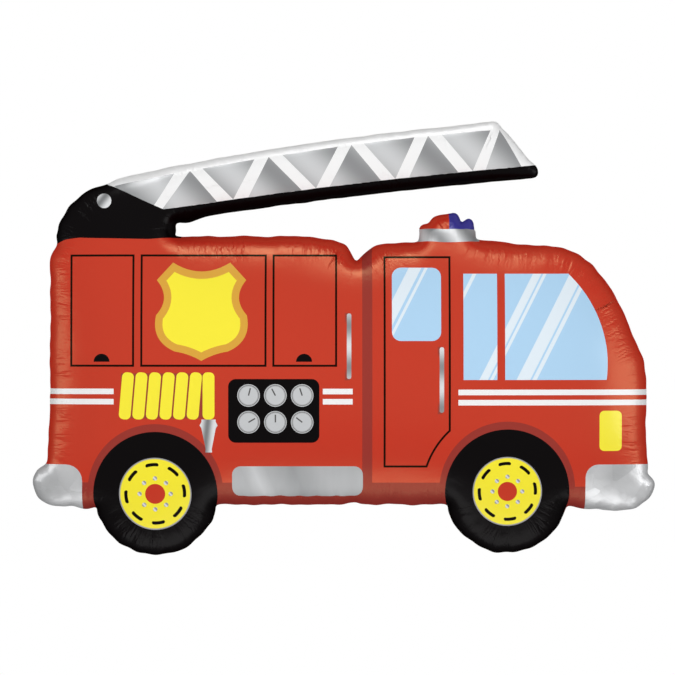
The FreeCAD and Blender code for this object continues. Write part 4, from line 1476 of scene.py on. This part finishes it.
class BuildMargin(Build):
    """The welded margin: both films flat together outside the weld, in the colours of the prints beside it"""

    bl_idname = "balloon.margin"
    bl_label = "Welded margin"

    def build(self):
        made = the_film()
        loop, width = made.loop, film_sizes().margin
        count = len(loop)
        weld = made.points[loop]
        across = np.stack([made.tangent[:, 1], np.zeros(count), -made.tangent[:, 0]], 1)
        for _ in range(6):
            across = (np.roll(across, 1, 0) + across + np.roll(across, -1, 0)) / 3
        across /= np.linalg.norm(across, axis=1)[:, None]
        ply = np.array([0, MARGIN_PLY, 0])
        rows = []
        for share, side in MARGIN_SECTION:
            lean = np.array([0, width * share * MARGIN_LEAN, 0])
            rows.append(weld + across * (width * share * (1 - MARGIN_LEAN) / 1.5) + lean + ply * side)
        points = np.vstack(rows)
        faces = []
        for row in range(len(rows)):
            near, far = row * count, (row + 1) % len(rows) * count
            here = np.arange(count)
            after = (here + 1) % count
            faces.append(np.stack([near + here, far + here, far + after, near + after], 1))
        piece = new_piece("seam_margin_strip", points, np.vstack(faces))
        beside = np.zeros(len(made.flat), int)
        beside[made.faces.reshape(-1)] = np.repeat(made.zone, 3)
        tints = [getattr(colours(), MARGIN_INKS.get(name, "red")) for name in made.names]
        colour = np.array([(*tints[zone], 1.0) for zone in beside[loop]])
        layer = piece.data.attributes.new("ink", "FLOAT_COLOR", "POINT")
        layer.data.foreach_set("color", np.tile(colour, (len(rows), 1)).ravel())
        ink = Ink("margin_ink", tint=WARM)
        piece.data.materials.append(ink.done(ink.node("ShaderNodeAttribute", attribute_name="ink")))
        finish_piece(piece, "margin_print", "seam_margin")


class BuildTail(Build):
    """The folded filling tail and its valve sleeve, laid up against the back film"""

    bl_idname = "balloon.tail"
    bl_label = "Filling tail"

    def build(self):
        silver = foil("tail_foil", lambda ink: ink.noise(30, 3), crinkle=0.7, sheen=0.7)
        sleeve = Ink("sleeve_film", 0.15)
        clear = sleeve.done((0.85, 0.88, 0.9), Alpha=sleeve.noise(20) * 0.3 + 0.35)
        self.strip("fill_tail", "fill_tail_strip", (0.7, 2.2), silver, "bare_foil")
        self.strip("valve_sleeve", "valve_sleeve_strip", (1.15, 1.75), clear, "clear_sleeve")

    def strip(self, node, name, clear, material, slot):
        """A flat bag up the back film from the weld, between two heights over it in millimetres."""
        made = the_film()
        low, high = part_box(node)
        root = BOTTOM + 1.5 * MM
        across = np.linspace(low.x, high.x, 7)
        up = root + (high.z - root) * np.linspace(0, 1, 36) ** 1.6
        back, outward = made.points[made.back_of], made.outward[made.back_of]
        tree = tree_of(back[:, [0, 2]])
        surface, ways = [], []
        for x, z in np.stack(np.meshgrid(across, up, indexing="ij"), -1).reshape(-1, 2):
            found = tree.find_n((x, z, 0), 10)
            index = [f[1] for f in found]
            weight = np.array([1 / (f[2] + 2 * MM) ** 2 for f in found])
            depth = (back[index, 1] * weight).sum() / weight.sum()
            way = (outward[index] * weight[:, None]).sum(0)
            surface.append((x, max(depth, 0.3 * MM), z))
            ways.append(way / np.linalg.norm(way))
        levels = [np.array(surface) + np.array(ways) * share * MM for share in clear]
        number = np.arange(len(surface)).reshape(len(across), len(up))
        corners = number[:-1, :-1], number[:-1, 1:], number[1:, 1:], number[1:, :-1]
        sheet = np.stack(corners, -1).reshape(-1, 4)
        rim = np.r_[number[:, 0], number[-1, 1:], number[-2::-1, -1], number[0, -2:0:-1]]
        after, over = np.roll(rim, -1), len(surface)
        edge = np.stack([rim, rim + over, after + over, after], 1)
        piece = new_piece(name, np.vstack(levels), np.vstack([sheet[:, ::-1] + over, sheet, edge]))
        piece.data.materials.append(material)
        finish_piece(piece, slot, node)


# name, place, width, height and radiance of the strip lights, which only gleam
STRIPS = [
    ("strip_over_box", (-0.18, -0.08, 1.7), 0.5, 1.2, 5.8),
    ("strip_over_cab", (0.2, -0.15, 1.7), 0.5, 1.2, 6.2),
    ("strip_below", (0, -0.1, -1.0), 1.6, 0.6, 3.6),
    ("strip_front_end", (1.8, -0.4, 0.1), 1.1, 0.9, 5.0),
    ("strip_rear_end", (-1.8, 0.05, 0.05), 1.1, 0.5, 4.2),
]
FRONT_LIGHT = 1.25
BACK_LIGHT = 0.85
SIDE_LIGHT = 0.08
LIGHT_EDGE, LIGHT_BLEND = 0.375, 0.45  # where the light falls off to the sides, and over how much
FLOOR_HALF, FLOOR_LEVEL = 2.2, -1.2
FLOOR_WHITE = 0.8  # how much of the floor's look is plain white, under the shadow
LENS = 437.0
CAMERA = (-0.0095, -12.0, 0.0447)


class BuildStudio(Build):
    """White background, an even light from front and back, a strip light along each edge, floor and camera"""

    bl_idname = "balloon.studio"
    bl_label = "Studio"

    def build(self):
        scene = bpy.context.scene
        scene.view_settings.view_transform = "Standard"
        self.world(scene)
        for name, place, wide, tall, radiance in STRIPS:
            lamp = bpy.data.lights.new(name, "AREA")
            lamp.shape = "RECTANGLE"
            lamp.size, lamp.size_y = wide, tall
            lamp.energy = radiance * math.pi * wide * tall
            light = bpy.data.objects.new(name, lamp)
            light.location = place
            light.rotation_euler = (-Vector(place)).to_track_quat("-Z", "Y").to_euler()
            light.visible_camera = False
            light.visible_diffuse = False
            scene.collection.objects.link(light)
        self.floor(scene)
        camera = bpy.data.cameras.new("camera")
        camera.lens = LENS
        holder = bpy.data.objects.new("camera", camera)
        holder.location = CAMERA
        holder.rotation_euler = (math.pi / 2, 0, 0)
        scene.collection.objects.link(holder)
        scene.camera = holder

    def world(self, scene):
        """Bright in front and less so behind, dark to the sides, and white where it is seen or mirrored."""
        world = bpy.data.worlds.new("studio")
        scene.world = world
        world.use_nodes = True
        tree = world.node_tree
        tree.nodes.clear()
        way = tree.nodes.new("ShaderNodeTexCoord")
        parted = tree.nodes.new("ShaderNodeSeparateXYZ")
        tree.links.new(way.outputs["Generated"], parted.inputs[0])
        behind = Wire(tree, parted.outputs["Y"])
        front = (behind + LIGHT_EDGE).inside(LIGHT_BLEND) * (FRONT_LIGHT - SIDE_LIGHT)
        back = (LIGHT_EDGE - behind).inside(LIGHT_BLEND) * (BACK_LIGHT - SIDE_LIGHT)
        lit = tree.nodes.new("ShaderNodeBackground")
        plug(tree, front + back + SIDE_LIGHT, lit.inputs["Strength"])
        white = tree.nodes.new("ShaderNodeBackground")
        for shader in (lit, white):
            shader.inputs["Color"].default_value = (1, 1, 1, 1)
        out = tree.nodes.new("ShaderNodeOutputWorld")
        surface = blended(tree, looked_at(tree), lit.outputs[0], white.outputs[0])
        tree.links.new(surface, out.inputs["Surface"])

    def floor(self, scene):
        """Pale, and clear from below, so that the balloon can be looked at from there."""
        half, level = FLOOR_HALF, FLOOR_LEVEL
        corners = [(-half, -half, level), (half, -half, level), (half, half, level), (-half, half, level)]
        mesh = bpy.data.meshes.new("floor")
        mesh.from_pydata(corners, [], [(0, 1, 2, 3)])
        floor = bpy.data.objects.new("floor", mesh)
        scene.collection.objects.link(floor)
        ink = Ink("floor_paint", 0.6, 0.0)
        mesh.materials.append(ink.done((0.9, 0.9, 0.9)))
        tree = ink.tree
        white = tree.nodes.new("ShaderNodeEmission")
        shown = blended(tree, looked_at(tree) * FLOOR_WHITE, ink.shader.outputs[0], white.outputs[0])
        under = Wire(tree, tree.nodes.new("ShaderNodeNewGeometry").outputs["Backfacing"])
        clear = tree.nodes.new("ShaderNodeBsdfTransparent")
        surface = blended(tree, under, shown, clear.outputs[0])
        tree.links.new(surface, tree.nodes["Material Output"].inputs["Surface"])


OPERATORS = [
    BuildStudio,
    BuildBody,
    BuildWheels,
    BuildBumpers,
    BuildBox,
    BuildCab,
    BuildLadder,
    BuildBeacon,
    BuildMargin,
    BuildTail,
]


class BalloonPanel(bpy.types.Panel):
    """The sizes, the inks and the build steps"""

    bl_idname = "BALLOON_PT_panel"
    bl_label = "Fire engine balloon"
    bl_space_type = "VIEW_3D"
    bl_region_type = "UI"
    bl_category = "Balloon"

    def draw(self, context):
        for key, group in PANEL_GROUPS.items():
            box = self.layout.box()
            settings = getattr(context.scene, key)
            for name in group.__annotations__:
                box.prop(settings, name)
        for operator in OPERATORS:
            self.layout.operator(operator.bl_idname)


def register():
    for kind in (*PANEL_GROUPS.values(), *OPERATORS, BalloonPanel):
        bpy.utils.register_class(kind)
    for key, group in PANEL_GROUPS.items():
        setattr(bpy.types.Scene, key, bpy.props.PointerProperty(type=group))


def unregister():
    for key in PANEL_GROUPS:
        delattr(bpy.types.Scene, key)
    for kind in reversed((*PANEL_GROUPS.values(), *OPERATORS, BalloonPanel)):
        bpy.utils.unregister_class(kind)


def main():
    register()
    bpy.ops.balloon.studio()
    bpy.ops.balloon.body()
    bpy.ops.balloon.wheels()
    bpy.ops.balloon.bumpers()
    bpy.ops.balloon.box()
    bpy.ops.balloon.cab()
    bpy.ops.balloon.ladder()
    bpy.ops.balloon.beacon()
    bpy.ops.balloon.margin()
    bpy.ops.balloon.tail()


if __name__ == "__main__":
    main()
